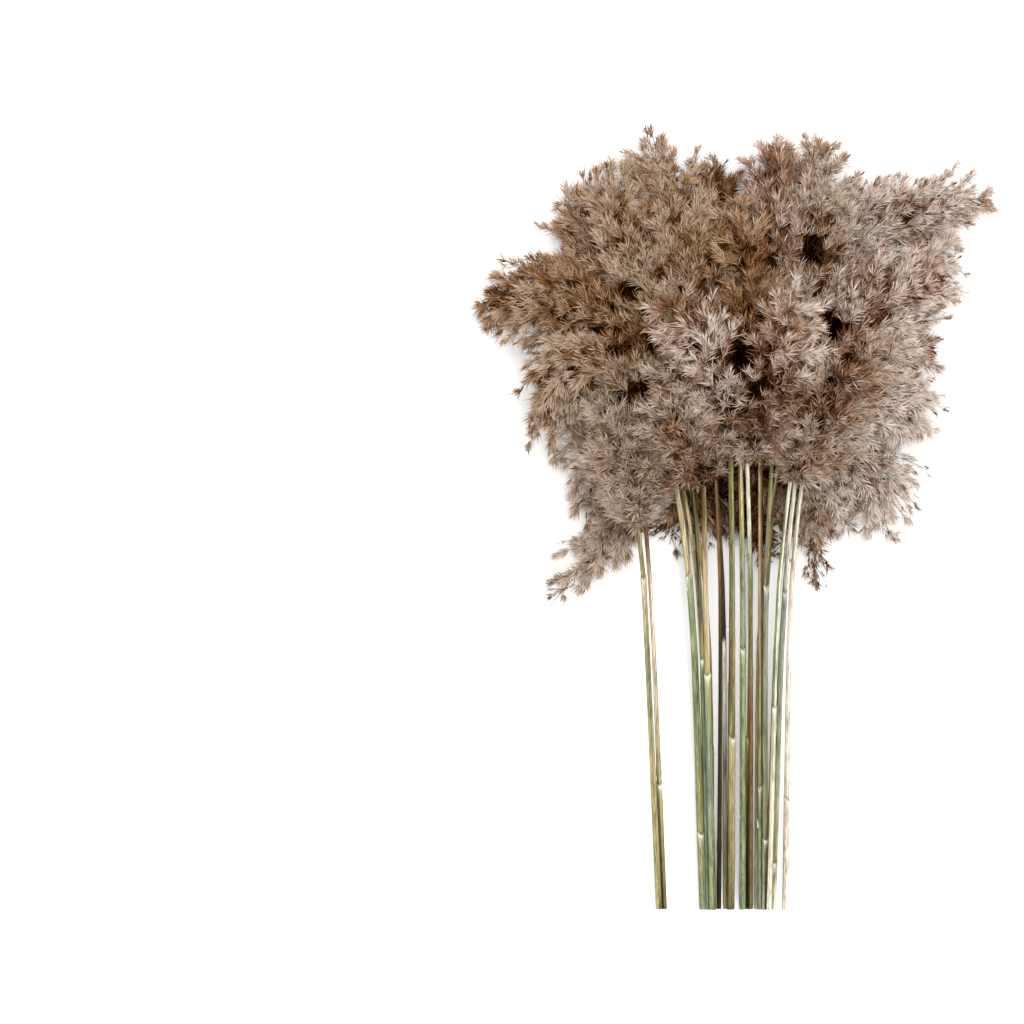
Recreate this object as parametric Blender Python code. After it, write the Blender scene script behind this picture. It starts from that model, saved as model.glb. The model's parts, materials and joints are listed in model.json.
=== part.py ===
"""Bunch of dried common reeds, lying on its back on a flat surface.

Metres, +Z up. The cut ends of the stems point to -Y and are trimmed flush; the plumes fan out
towards +Y. The origin is the middle of the bunch's box, on the surface it lies on.
"""
import math
import random
from dataclasses import dataclass

import bmesh
import bpy
import numpy as np
from mathutils import Vector
from mathutils.bvhtree import BVHTree

MM = 0.001

# Driving sizes, in millimetres.
FOOT_Y = -300.0            # the line on which every stem is cut
FOOT_BAND = 4.0            # the points this near the cut are put on it
STEM_TAPER = 0.72          # a stem's radius at its neck, over its radius at the cut end
JOINT_SWELL = 1.22         # radius at a joint ring, over the stem's own
JOINT_HALF_LENGTH = 3.0    # from a joint ring to where the stem is plain again
STEM_RISE = 0.85           # below 1, the stems climb sooner over the plumes that hang under them
STEM_STATIONS = (-250.0, -200.0, -150.0, -100.0, -50.0, 0.0, 50.0)
STATION_ROOM = 20.0        # no plain station lies nearer than this to a joint ring or the neck
PLAN_POINTS = 60           # points on a stem's plan
CURVE_STEPS = 24           # points laid between two given ones of a curve
STEM_BEVEL = 2             # makes a stem eight-sided
STEM_ROUGHNESS = 0.5
WELD = 0.01                # corners of a tube's caps nearer than this are one
SETTLE_STEP = 3.0          # distance between the places where two stems are compared
SETTLE_ROUNDS = 300
SETTLE_SLACK = 0.01        # a stem that cuts another by less is left as it is
SETTLE_EXTRA = 0.05        # how much further than needed a stem is lifted
LIFT_LENGTH = 120.0        # length of stem that is lifted where it lies on another
STEM_CLEARANCE = 0.5       # between two stems that lie on each other
NECK_GAP = 1.2             # between the end of a stem and the root of its plume

PLUME_SIDES = 12
PLUME_RINGS = 11
PLUME_ROUGHNESS = 0.9
ROUND_ENDS = 0.62          # below 1, a plume swells sooner from its ends
LOCK_HOLLOW = 0.74         # reach of the hollow between two locks, over a lock's own
LOCK_SWEEP = 7.0           # how far a lock's point leans towards the plume's tip
LOCK_JITTER = 0.10
LOCK_LEAST = 8.0           # a point that stands off less than this isn't swept
LOCK_ABOVE = 1.0           # nor one that lies lower than this
LEAST_REACH = 2.2
NEIGHBOUR_GAP = 1.2        # between a plume and the plumes and stems round it
CONTACT_GAP = 0.0006       # metres, kept between any two pieces
MARCH_STEPS = 40
SPINE_SAMPLES = 48         # points on each spine that share out the room
LEAST_GIRTH = 7.0
STEM_GIRTH = 5.0
STEM_SAMPLE_STEP = 4.0
STEM_SAMPLE_FROM = -100.0  # y above which the stems take room from the plumes
LOOK_ROUND = 90.0          # neighbours further off than this, past its own reach, don't count
BEND_SHARE = 0.80          # where a spine bends back, a side stops once it nears the spine again
BEND_SLACK = 1.0
BEND_EASE = 0.9
PRESSED_HEIGHT = 27.0      # a plume whose spine lies lower than this is pressed flat underneath
PRESSED_FULLNESS = 0.75    # but not at its slim ends
PRESSED_MORE = 1.1         # reach of the pressed side, over the spine's height
STEEP = -0.8               # steepest directions, down to the surface
FLAT_BELOW = 0.05          # points lower than this lie on the surface
DRAW_IN_SHARE = 0.12       # how far a touching point is pulled towards its spine each round
DRAW_IN_ROUNDS = 60
SEED = 21

# Colours read off the dried reeds.
PLUME_TONES = {
    "tan": (0.45, 0.34, 0.24),
    "taupe": (0.37, 0.29, 0.23),
    "brown": (0.28, 0.19, 0.12),
    "lilac": (0.47, 0.39, 0.36),
}
STEM_TONES = {
    "straw": (0.62, 0.49, 0.27),
    "sage": (0.42, 0.45, 0.27),
    "olive": (0.33, 0.28, 0.11),
    "umber": (0.16, 0.10, 0.05),
    "cream": (0.70, 0.62, 0.47),
}


@dataclass(frozen=True)
class Reed:
    """One reed: its cut end, the bend of its stem, and the spine of its plume, in millimetres."""

    name: str
    foot_x: float
    bend: tuple            # x, y where the stem passes below the plumes
    spine: tuple           # x, y, z from the neck to the tip of the plume
    half_width: float
    half_depth: float
    widest: float          # share of its length where the plume is widest
    radius: float          # of the stem at its cut end
    joint_y: float         # where the stem has its joint ring
    stem_tone: str
    plume_tone: str


# The back layer comes first: it lies on the surface, and the others lie on it.
REEDS = (
    Reed("back_left_low", -25, (-34, -62),
         ((-43, 50, 28), (-56, 47, 23), (-72, 22, 18), (-98, -16, 16), (-143, -68, 7)),
         23, 22, 0.32, 1.9, -205, "olive", "taupe"),
    Reed("back_left_side", -21, (-28, -62),
         ((-49, 70, 28), (-65, 75, 24), (-86, 66, 21), (-104, 41, 19), (-115, 0, 12)),
         34, 27, 0.46, 1.9, -130, "straw", "lilac"),
    Reed("back_hang_left", -7, (-9, -62),
         ((-17, 56, 28), (-29, 53, 22), (-38, 33, 17), (-43, 8, 15), (-50, -20, 8)),
         33, 22, 0.42, 1.7, -82, "umber", "taupe"),
    Reed("back_hang_middle", 8, (12, -62),
         ((9, 58, 28), (17, 54, 20), (19, 32, 15), (18, -2, 13), (24, -38, 8)),
         33, 19, 0.40, 1.9, -170, "olive", "brown"),
    Reed("back_hang_right", 21, (24, -62),
         ((33, 52, 28), (44, 52, 22), (53, 27, 17), (60, -14, 15), (62, -56, 7)),
         30, 21, 0.36, 1.9, -60, "sage", "taupe"),
    Reed("back_right_low", 25, (33, -62),
         ((48, 62, 28), (62, 62, 23), (86, 46, 20), (107, 25, 18), (114, -12, 12)),
         44, 28, 0.50, 1.9, -225, "straw", "lilac"),
    Reed("back_right_side", 28, (37, -62),
         ((52, 80, 30), (80, 106, 24), (116, 125, 22), (157, 128, 14)),
         46, 30, 0.54, 1.9, -150, "sage", "lilac"),
    Reed("back_right_high", 17, (20, -62),
         ((42, 98, 30), (62, 152, 27), (101, 213, 26), (149, 236, 24), (197, 248, 18)),
         48, 32, 0.46, 1.9, -95, "straw", "lilac"),
    Reed("back_top", -4, (-3, -62),
         ((-2, 100, 28), (-9, 150, 26), (-15, 205, 24), (-17, 250, 22), (-16, 279, 18)),
         44, 30, 0.52, 1.9, -130, "olive", "brown"),
    Reed("back_left_high", -17, (-22, -62),
         ((-50, 104, 28), (-68, 146, 26), (-98, 200, 24), (-137, 248, 17)),
         45, 30, 0.52, 1.9, -180, "straw", "tan"),
    Reed("left_sweep", -24, (-34, -62),
         ((-54, 70, 48), (-70, 112, 54), (-104, 150, 54), (-148, 167, 46), (-199, 164, 24)),
         51, 32, 0.50, 2.8, -45, "sage", "tan"),
    Reed("left_high", -20, (-27, -62),
         ((-38, 72, 50), (-50, 118, 56), (-67, 172, 56), (-84, 226, 48), (-99, 277, 34)),
         44, 30, 0.55, 1.9, -110, "olive", "tan"),
    Reed("top_left", -17, (-23, -62),
         ((-26, 78, 52), (-32, 124, 58), (-38, 178, 60), (-49, 238, 50), (-70, 300, 30)),
         40, 28, 0.48, 2.6, -120, "sage", "tan"),
    Reed("top_middle", 20, (19, -62),
         ((18, 84, 48), (23, 138, 54), (28, 190, 56), (32, 244, 50), (29, 293, 30)),
         42, 30, 0.55, 2.2, -80, "straw", "lilac"),
    Reed("top_right", 23, (23, -62),
         ((29, 80, 52), (38, 130, 58), (49, 184, 60), (59, 238, 50), (69, 289, 32)),
         45, 29, 0.58, 2.2, -52, "olive", "taupe"),
    Reed("right_high", 29, (37, -62),
         ((50, 70, 50), (68, 112, 58), (97, 150, 60), (131, 181, 50), (173, 205, 28)),
         46, 30, 0.50, 2.2, -235, "cream", "lilac"),
    Reed("right_low", 39, (42, -62),
         ((54, 54, 48), (72, 78, 58), (98, 92, 58), (123, 87, 44), (143, 64, 22)),
         43, 30, 0.50, 2.2, -200, "cream", "lilac"),
    Reed("left_nod", -54, (-65, -55),
         ((-75, 46, 50), (-80, 90, 70), (-99, 122, 80), (-124, 119, 70), (-139, 92, 52), (-143, 47, 30)),
         36, 28, 0.46, 2.1, -195, "umber", "brown"),
    Reed("front_left", -58, (-70, -55),
         ((-75, -4, 46), (-76, 26, 62), (-84, 50, 76), (-96, 76, 86), (-104, 98, 88)),
         38, 28, 0.48, 2.4, -47, "olive", "taupe"),
    Reed("front_middle_left", -12, (-12, -62),
         ((-16, 31, 58), (-29, 44, 78), (-42, 68, 92), (-48, 94, 100), (-54, 120, 99)),
         40, 27, 0.48, 1.8, -250, "umber", "taupe"),
    Reed("front_high_left", -3, (-3, -62),
         ((-5, 50, 64), (-9, 80, 86), (-20, 116, 100), (-37, 146, 105), (-62, 168, 99)),
         40, 28, 0.48, 2.8, -99, "olive", "lilac"),
    Reed("front_high", 6, (5, -62),
         ((2, 66, 64), (5, 108, 80), (10, 152, 86), (8, 200, 84), (0, 248, 70)),
         34, 27, 0.46, 2.5, -92, "sage", "tan"),
    Reed("front_middle", 12, (11, -62),
         ((8, 43, 60), (14, 74, 84), (25, 112, 102), (36, 148, 112), (42, 172, 108)),
         38, 28, 0.48, 2.1, -118, "cream", "lilac"),
    Reed("front_right", 26, (32, -62),
         ((41, 29, 58), (53, 58, 78), (72, 90, 90), (95, 116, 90), (118, 138, 78)),
         40, 29, 0.48, 2.0, -160, "cream", "taupe"),
)


def clear_scene():
    """Remove whatever the file holds, so that only the bunch is left."""
    for thing in list(bpy.data.objects):
        bpy.data.objects.remove(thing, do_unlink=True)
    for group in list(bpy.data.collections):
        bpy.data.collections.remove(group)


def smooth_path(points, count):
    """Return count points, evenly spaced, on the smooth curve through the given ones."""
    known = np.array(points, dtype=float)
    ends = np.vstack([2 * known[0] - known[1], known, 2 * known[-1] - known[-2]])
    fine = []
    for i in range(len(known) - 1):
        a, b, c, d = ends[i:i + 4]
        for t in np.linspace(0.0, 1.0, CURVE_STEPS, endpoint=False):
            fine.append(0.5 * (2 * b + (c - a) * t + (2 * a - 5 * b + 4 * c - d) * t ** 2
                               + (3 * b - a - 3 * c + d) * t ** 3))
    fine.append(known[-1])
    fine = np.array(fine)
    run = np.concatenate([[0.0], np.cumsum(np.linalg.norm(np.diff(fine, axis=0), axis=1))])
    wanted = np.linspace(0.0, run[-1], count)
    return np.column_stack([np.interp(wanted, run, fine[:, k]) for k in range(fine.shape[1])])


def principled(name, colour, roughness):
    """Return a plain material with one colour and roughness."""
    material = bpy.data.materials.get(name)
    if material is None:
        material = bpy.data.materials.new(name)
        material.use_nodes = True
        shader = material.node_tree.nodes["Principled BSDF"]
        shader.inputs["Base Color"].default_value = (*colour, 1.0)
        shader.inputs["Roughness"].default_value = roughness
        shader.inputs["Metallic"].default_value = 0.0
        material.diffuse_color = (*colour, 1.0)
    return material


# ---------------------------------------------------------------- stems

def stem_plan(reed, y):
    """Return the x of a stem's middle at the given y: straight at the foot, bent near the neck."""
    path = smooth_path(((reed.foot_x, FOOT_Y), reed.bend, reed.spine[0][:2]), PLAN_POINTS)
    return float(np.interp(y, path[:, 1], path[:, 0]))


def stem_radius(reed, y):
    """Return a stem's plain radius at the given y."""
    neck_y = reed.spine[0][1]
    along = (y - FOOT_Y) / (neck_y - FOOT_Y)
    return reed.radius * (1.0 + (STEM_TAPER - 1.0) * min(1.0, max(0.0, along)))


def wanted_height(reed, y):
    """Return the height of a stem's middle if no other stem were there."""
    neck_y, neck_z = reed.spine[0][1:]
    along = min(1.0, max(0.0, (y - FOOT_Y) / (neck_y - FOOT_Y)))
    return reed.radius + (neck_z - reed.radius) * along ** STEM_RISE


def free_route(reed):
    """Return a stem's points as rows of x, y, z and radius, as if no other stem were there."""
    neck = np.array(reed.spine[0], dtype=float)
    joint = (reed.joint_y - JOINT_HALF_LENGTH, reed.joint_y, reed.joint_y + JOINT_HALF_LENGTH)
    plain = [y for y in STEM_STATIONS
             if y < neck[1] - STATION_ROOM and abs(y - reed.joint_y) > STATION_ROOM]
    rows = []
    for y in sorted((FOOT_Y, *plain, *joint)):
        radius = stem_radius(reed, y) * (JOINT_SWELL if y == reed.joint_y else 1.0)
        rows.append((stem_plan(reed, y), y, wanted_height(reed, y), radius))
    last = np.array(rows[-1][:3])
    end = neck + (last - neck) / np.linalg.norm(last - neck) * NECK_GAP
    rows.append((*end, stem_radius(reed, neck[1])))
    return np.array(rows)


def tightest_spot(route, below):
    """Return how far a stem has to be lifted to clear one below it, and at which y."""
    ys = np.arange(FOOT_Y, min(route[-1, 1], below[-1, 1]) + SETTLE_STEP, SETTLE_STEP)
    x, z, radius = (np.interp(ys, route[:, 1], route[:, k]) for k in (0, 2, 3))
    other_x, other_z, other_radius = (np.interp(ys, below[:, 1], below[:, k]) for k in (0, 2, 3))
    apart = radius + other_radius + STEM_CLEARANCE
    rise = np.sqrt(np.maximum(0.0, apart ** 2 - (x - other_x) ** 2))
    lift = np.where(np.abs(z - other_z) < rise - SETTLE_SLACK, other_z + rise - z, 0.0)
    k = int(np.argmax(lift))
    return float(lift[k]), float(ys[k])


def settled_routes(reeds):
    """Lay the stems on each other, back ones first: a stem is lifted where it would cut another."""
    routes = {}
    for reed in reeds:
        route = free_route(reed)
        for _ in range(SETTLE_ROUNDS):
            lift, y = max((tightest_spot(route, below) for below in routes.values()), default=(0.0, 0.0))
            if lift <= 0.0:
                break
            near = np.exp(-((route[:, 1] - y) / LIFT_LENGTH) ** 2)
            near[-1] = 0.0
            route[:, 2] += (lift + SETTLE_EXTRA) * near
        routes[reed.name] = route
    return routes


def make_stem(reed, route, collection):
    """Make one stem as a tapered tube with a joint ring, cut flush at its foot."""
    curve = bpy.data.curves.new("stem_" + reed.name, "CURVE")
    curve.dimensions = "3D"
    curve.bevel_depth = MM
    curve.bevel_resolution = STEM_BEVEL
    curve.use_fill_caps = True
    curve.twist_mode = "Z_UP"
    spline = curve.splines.new("POLY")
    spline.points.add(len(route) - 1)
    for point, (x, y, z, radius) in zip(spline.points, route):
        point.co = (x * MM, y * MM, z * MM, 1.0)
        point.radius = radius
    tube = bpy.data.objects.new("stem_" + reed.name, curve)
    collection.objects.link(tube)
    bpy.context.view_layer.update()
    mesh = bpy.data.meshes.new_from_object(tube.evaluated_get(bpy.context.evaluated_depsgraph_get()))
    bpy.data.objects.remove(tube, do_unlink=True)
    bpy.data.curves.remove(curve)
    shell = bmesh.new()
    shell.from_mesh(mesh)
    bmesh.ops.remove_doubles(shell, verts=shell.verts, dist=WELD * MM)
    # the cut runs straight across the bunch, whatever way the stem leans
    cut = [v for v in shell.verts if v.co.y < (FOOT_Y + FOOT_BAND) * MM]
    for vertex in cut:
        vertex.co.y = FOOT_Y * MM
        vertex.co.z = max(vertex.co.z, 0.0)
    bmesh.ops.recalc_face_normals(shell, faces=shell.faces)
    shell.to_mesh(mesh)
    shell.free()
    mesh.shade_smooth()
    mesh.name = "stem_" + reed.name
    mesh.materials.clear()
    tone = STEM_TONES[reed.stem_tone]
    mesh.materials.append(principled("stem_" + reed.stem_tone, tone, STEM_ROUGHNESS))
    stem = bpy.data.objects.new("stem_" + reed.name, mesh)
    collection.objects.link(stem)
    return stem


# ---------------------------------------------------------------- plumes

def fullness(along, widest):
    """Return how wide a plume is at a share of its length, over what it is at its widest."""
    if not 0.0 < along < 1.0:
        return 0.0
    return math.sin(math.pi * along ** (math.log(0.5) / math.log(widest))) ** ROUND_ENDS


def spine_frame(path, i):
    """Return the directions along, across and up from a spine at its point i."""
    ahead = Vector(path[min(i + 1, len(path) - 1)])
    behind = Vector(path[max(i - 1, 0)])
    along = (ahead - behind).normalized()
    across = along.cross(Vector((0, 0, 1))).normalized()
    return along, across, across.cross(along).normalized()


class Crowd:
    """Every spine and stem in the bunch, as points that share the room out between them."""

    def __init__(self, reeds, routes):
        """Sample the spines of the plumes and the middles of the stems."""
        places = []
        owners = []
        girths = []
        for reed in reeds:
            path = smooth_path(reed.spine, SPINE_SAMPLES)
            for k, place in enumerate(path):
                full = fullness(k / (SPINE_SAMPLES - 1), reed.widest)
                places.append(place)
                owners.append(reed.name)
                girths.append(max(LEAST_GIRTH, reed.half_width * full))
            route = routes[reed.name]
            for y in np.arange(STEM_SAMPLE_FROM, reed.spine[0][1] - STEM_SAMPLE_STEP, STEM_SAMPLE_STEP):
                x, z = (np.interp(y, route[:, 1], route[:, k]) for k in (0, 2))
                places.append([x, y, z])
                owners.append("stem_" + reed.name)
                girths.append(STEM_GIRTH)
        self.places = np.array(places)
        self.owners = np.array(owners)
        self.girths = np.array(girths)

    def reach(self, reed, start, way, natural):
        """Return how far a plume grows from start along way before it meets a neighbour."""
        near = np.linalg.norm(self.places - start, axis=1) < natural + LOOK_ROUND
        mine = near & (self.owners == reed.name)
        others = near & (self.owners != reed.name)
        own = np.linalg.norm(self.places[mine] - start, axis=1)
        own_girth = float(self.girths[mine][np.argmin(own)])
        for step in range(1, MARCH_STEPS + 1):
            length = natural * step / MARCH_STEPS
            spot = start + way * length
            if spot[2] < 0.0:
                return start[2] / -way[2]
            to_own = np.min(np.linalg.norm(self.places[mine] - spot, axis=1))
            if to_own < BEND_SHARE * length - BEND_SLACK:
                return max(LEAST_REACH, length * BEND_EASE)
            if others.any():
                away = np.linalg.norm(self.places[others] - spot, axis=1)
                if np.any(away / self.girths[others] < (to_own + NEIGHBOUR_GAP) / own_girth):
                    return max(LEAST_REACH, length - natural / MARCH_STEPS - NEIGHBOUR_GAP)
        return natural


def make_plume(reed, crowd, draw, collection):
    """Make one plume: a shaggy spindle round its spine, with its locks pointing to the tip."""
    path = smooth_path(reed.spine, PLUME_RINGS + 1)
    shell = bmesh.new()
    bmesh.ops.create_uvsphere(shell, u_segments=PLUME_SIDES, v_segments=PLUME_RINGS, radius=1.0)
    middles = {}
    for vertex in shell.verts:
        polar = math.acos(max(-1.0, min(1.0, vertex.co.z)))
        ring = round(polar / math.pi * PLUME_RINGS)
        middle = Vector(path[ring])
        if ring in (0, PLUME_RINGS):
            vertex.co = middle
            middles[vertex.index] = middle
            continue
        turn = math.atan2(vertex.co.y, vertex.co.x) % math.tau
        side = round(turn / math.tau * PLUME_SIDES) % PLUME_SIDES
        along, across, up = spine_frame(path, ring)
        way = (across * math.cos(turn) + up * math.sin(turn)).normalized()
        wide = math.cos(turn) / reed.half_width
        deep = math.sin(turn) / reed.half_depth
        full = fullness(ring / PLUME_RINGS, reed.widest)
        natural = full / math.hypot(wide, deep)
        is_lock = (ring + side) % 2 == 0
        natural *= (1.0 if is_lock else LOCK_HOLLOW) * draw.uniform(1 - LOCK_JITTER, 1 + LOCK_JITTER)
        if way.z < STEEP and middle.z < PRESSED_HEIGHT and full > PRESSED_FULLNESS:
            natural = max(natural, PRESSED_MORE * middle.z / -way.z)
        reach = crowd.reach(reed, np.array(middle), np.array(way), natural)
        spot = middle + way * reach
        if is_lock and spot.z > LOCK_ABOVE and reach > LOCK_LEAST:
            spot += along * LOCK_SWEEP * min(1.0, reach / natural)
        if spot.z < FLAT_BELOW:
            spot.z = 0.0
        vertex.co = spot
        middles[vertex.index] = middle
    for vertex in shell.verts:
        vertex.co *= MM
    bmesh.ops.triangulate(shell, faces=shell.faces)
    mesh = bpy.data.meshes.new("plume_" + reed.name)
    shell.to_mesh(mesh)
    shell.free()
    tone = PLUME_TONES[reed.plume_tone]
    mesh.materials.append(principled("plume_" + reed.plume_tone, tone, PLUME_ROUGHNESS))
    plume = bpy.data.objects.new("plume_" + reed.name, mesh)
    collection.objects.link(plume)
    return plume, {i: m * MM for i, m in middles.items()}


def grown(mesh, thickness):
    """Return a search tree of a mesh whose points stand out by the given thickness."""
    places = [v.co + v.normal * thickness for v in mesh.vertices]
    faces = [tuple(p.vertices) for p in mesh.polygons]
    return BVHTree.FromPolygons(places, faces), faces


def crossing_faces(tree, faces):
    """Return the faces of one shell that cut through others of it, where its spine bends."""
    crossed = set()
    for a, b in tree.overlap(tree):
        if a < b and not set(faces[a]) & set(faces[b]):
            crossed.update((a, b))
    return crossed


def draw_in(plumes, middles, stems):
    """Pull the plumes' points in towards their spines until no surface touches another."""
    still = [grown(stem.data, CONTACT_GAP) for stem in stems]
    for _ in range(DRAW_IN_ROUNDS):
        soft = [grown(plume.data, CONTACT_GAP) for plume in plumes]
        moved = False
        for i, plume in enumerate(plumes):
            tree, faces = soft[i]
            touching = crossing_faces(tree, faces)
            for j, (other, _) in enumerate(soft):
                if j != i:
                    touching.update(a for a, b in tree.overlap(other))
            for other, _ in still:
                touching.update(a for a, b in tree.overlap(other))
            points = {v for face in touching for v in faces[face]}
            for index in points:
                vertex = plume.data.vertices[index]
                flat = vertex.co.z == 0.0
                vertex.co = vertex.co.lerp(middles[i][index], DRAW_IN_SHARE)
                if flat:
                    vertex.co.z = 0.0
            moved = moved or bool(points)
            plume.data.update()
        if not moved:
            return


def main():
    """Build the bunch: stems first, then the plumes in the room they leave."""
    clear_scene()
    collection = bpy.data.collections.new("bunch_of_reeds")
    bpy.context.scene.collection.children.link(collection)
    draw = random.Random(SEED)
    routes = settled_routes(REEDS)
    stems = [make_stem(reed, routes[reed.name], collection) for reed in REEDS]
    crowd = Crowd(REEDS, routes)
    made = [make_plume(reed, crowd, draw, collection) for reed in REEDS]
    draw_in([plume for plume, _ in made], [middles for _, middles in made], stems)


main()
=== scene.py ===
"""Looks of a bunch of dried common reeds, lying on its back and seen from above.

Metres, +Z up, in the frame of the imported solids. Each plume is a stalk with branches, whose branches
carry spikelets of brown florets and long pale hairs, and each stem is a hollow cane with joints and
the mouths of its leaf sheaths. Every piece keeps the place and the reach of the solid it stands for.
"""
import json
import logging
import math
from dataclasses import dataclass
from enum import Enum

import bpy
import numpy as np
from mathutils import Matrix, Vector, noise
from mathutils.bvhtree import BVHTree

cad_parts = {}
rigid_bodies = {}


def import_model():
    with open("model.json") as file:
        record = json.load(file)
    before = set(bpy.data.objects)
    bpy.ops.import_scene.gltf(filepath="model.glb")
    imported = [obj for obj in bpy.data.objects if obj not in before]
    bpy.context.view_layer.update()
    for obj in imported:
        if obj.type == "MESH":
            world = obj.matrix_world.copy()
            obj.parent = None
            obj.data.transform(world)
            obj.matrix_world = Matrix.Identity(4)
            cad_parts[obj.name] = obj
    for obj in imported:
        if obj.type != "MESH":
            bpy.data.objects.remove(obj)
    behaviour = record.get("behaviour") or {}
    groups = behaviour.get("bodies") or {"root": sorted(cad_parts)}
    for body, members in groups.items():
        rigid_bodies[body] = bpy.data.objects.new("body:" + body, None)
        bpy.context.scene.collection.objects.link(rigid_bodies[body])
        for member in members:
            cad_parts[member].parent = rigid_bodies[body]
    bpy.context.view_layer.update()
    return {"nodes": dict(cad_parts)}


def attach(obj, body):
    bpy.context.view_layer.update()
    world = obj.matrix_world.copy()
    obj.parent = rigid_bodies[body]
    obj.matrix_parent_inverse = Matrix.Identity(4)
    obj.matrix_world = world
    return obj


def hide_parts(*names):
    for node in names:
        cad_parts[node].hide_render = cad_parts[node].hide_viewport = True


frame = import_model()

LOG = logging.getLogger("bunch_of_reeds")

MM = 0.001
BODY = "root"
STRAND_MAP = "OFBake"      # every piece's map: across it a plume's tone or a stem's turn, up it root to tip
LOBE_WAVES = 27.0          # lobes of the plumes to a metre
LOBE_SHIFT = (14.0, -60.0, -21.0)
LOBE_EDGE = 2.4            # above 1, lobes and valleys are flat and the edges between them steep

Triple = tuple[float, float, float]
Pair = tuple[float, float]


def paint(red: int, green: int, blue: int) -> Triple:
    """Turn a colour as seen on screen, 0 to 255, into the linear one a shader takes."""
    def linear(value: int) -> float:
        share = value / 255
        return share / 12.92 if share <= 0.04045 else ((share + 0.055) / 1.055) ** 2.4
    return linear(red), linear(green), linear(blue)


# ---------------------------------------------------------------- names of tones

class PlumeTone(Enum):
    """The four casts of colour that the plumes have, by the record's slot."""

    TAN = "plume_tan"
    TAUPE = "plume_taupe"
    BROWN = "plume_brown"
    LILAC = "plume_lilac"


class StemTone(Enum):
    """The record's slots for the stems."""

    STRAW = "stem_straw"
    SAGE = "stem_sage"
    OLIVE = "stem_olive"
    UMBER = "stem_umber"
    CREAM = "stem_cream"


class Cane(Enum):
    """Colours that run along a stem as it dries."""

    STRAW = paint(164, 146, 106)
    KHAKI = paint(136, 128, 84)
    SAGE = paint(110, 118, 84)
    LEAF = paint(110, 121, 80)
    SEA = paint(104, 116, 98)
    OLIVE = paint(92, 84, 46)
    UMBER = paint(34, 27, 8)
    CHESTNUT = paint(96, 68, 33)
    CREAM = paint(188, 184, 162)
    BLUSH = paint(198, 181, 164)
    GREY = paint(128, 127, 112)
    WHITE = paint(226, 224, 208)


TAN, TAUPE, BROWN, LILAC = PlumeTone
STRAW, KHAKI, SAGE, LEAF, SEA, OLIVE, UMBER, CHESTNUT, CREAM, BLUSH, GREY, WHITE = Cane
Stops = tuple[tuple[float, Cane], ...]


# ---------------------------------------------------------------- plan of the bunch

@dataclass(frozen=True)
class PlumePlan:
    """One plume: its spine from neck to tip in millimetres, how full it is and how it hangs."""

    name: str
    tone: PlumeTone
    droop: float                  # how far the ends of its branches sink towards the stems
    cast: float                   # shift of its strands towards the pale end of their colours
    spine: tuple[Triple, ...]
    sweep: float = 2.0            # how far back a branch leaves the stalk, over how far it stands off
    mingle: float = 8.0           # how far a branch reaches in among the next plume's
    dense: float = 1.0            # its branches, over what another plume of its size has
    tail: float = 1.0             # share of its length past which it is thin and bare
    fill: tuple[Triple, ...] = () # where more of its branches end, in among the stems


@dataclass(frozen=True)
class StemPlan:
    """One stem: its slot, its colours along its left and right flank, and its sheath mouths."""

    name: str
    tone: StemTone
    seam: float                        # degrees round the stem where its flanks meet
    mouths: tuple[Pair, ...]           # y in millimetres, and which way the notch faces in degrees
    left: Stops                        # y in millimetres and the colour there
    right: Stops
    slivers: tuple[Triple, ...] = ()   # torn strips of sheath: y, length and lean


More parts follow.
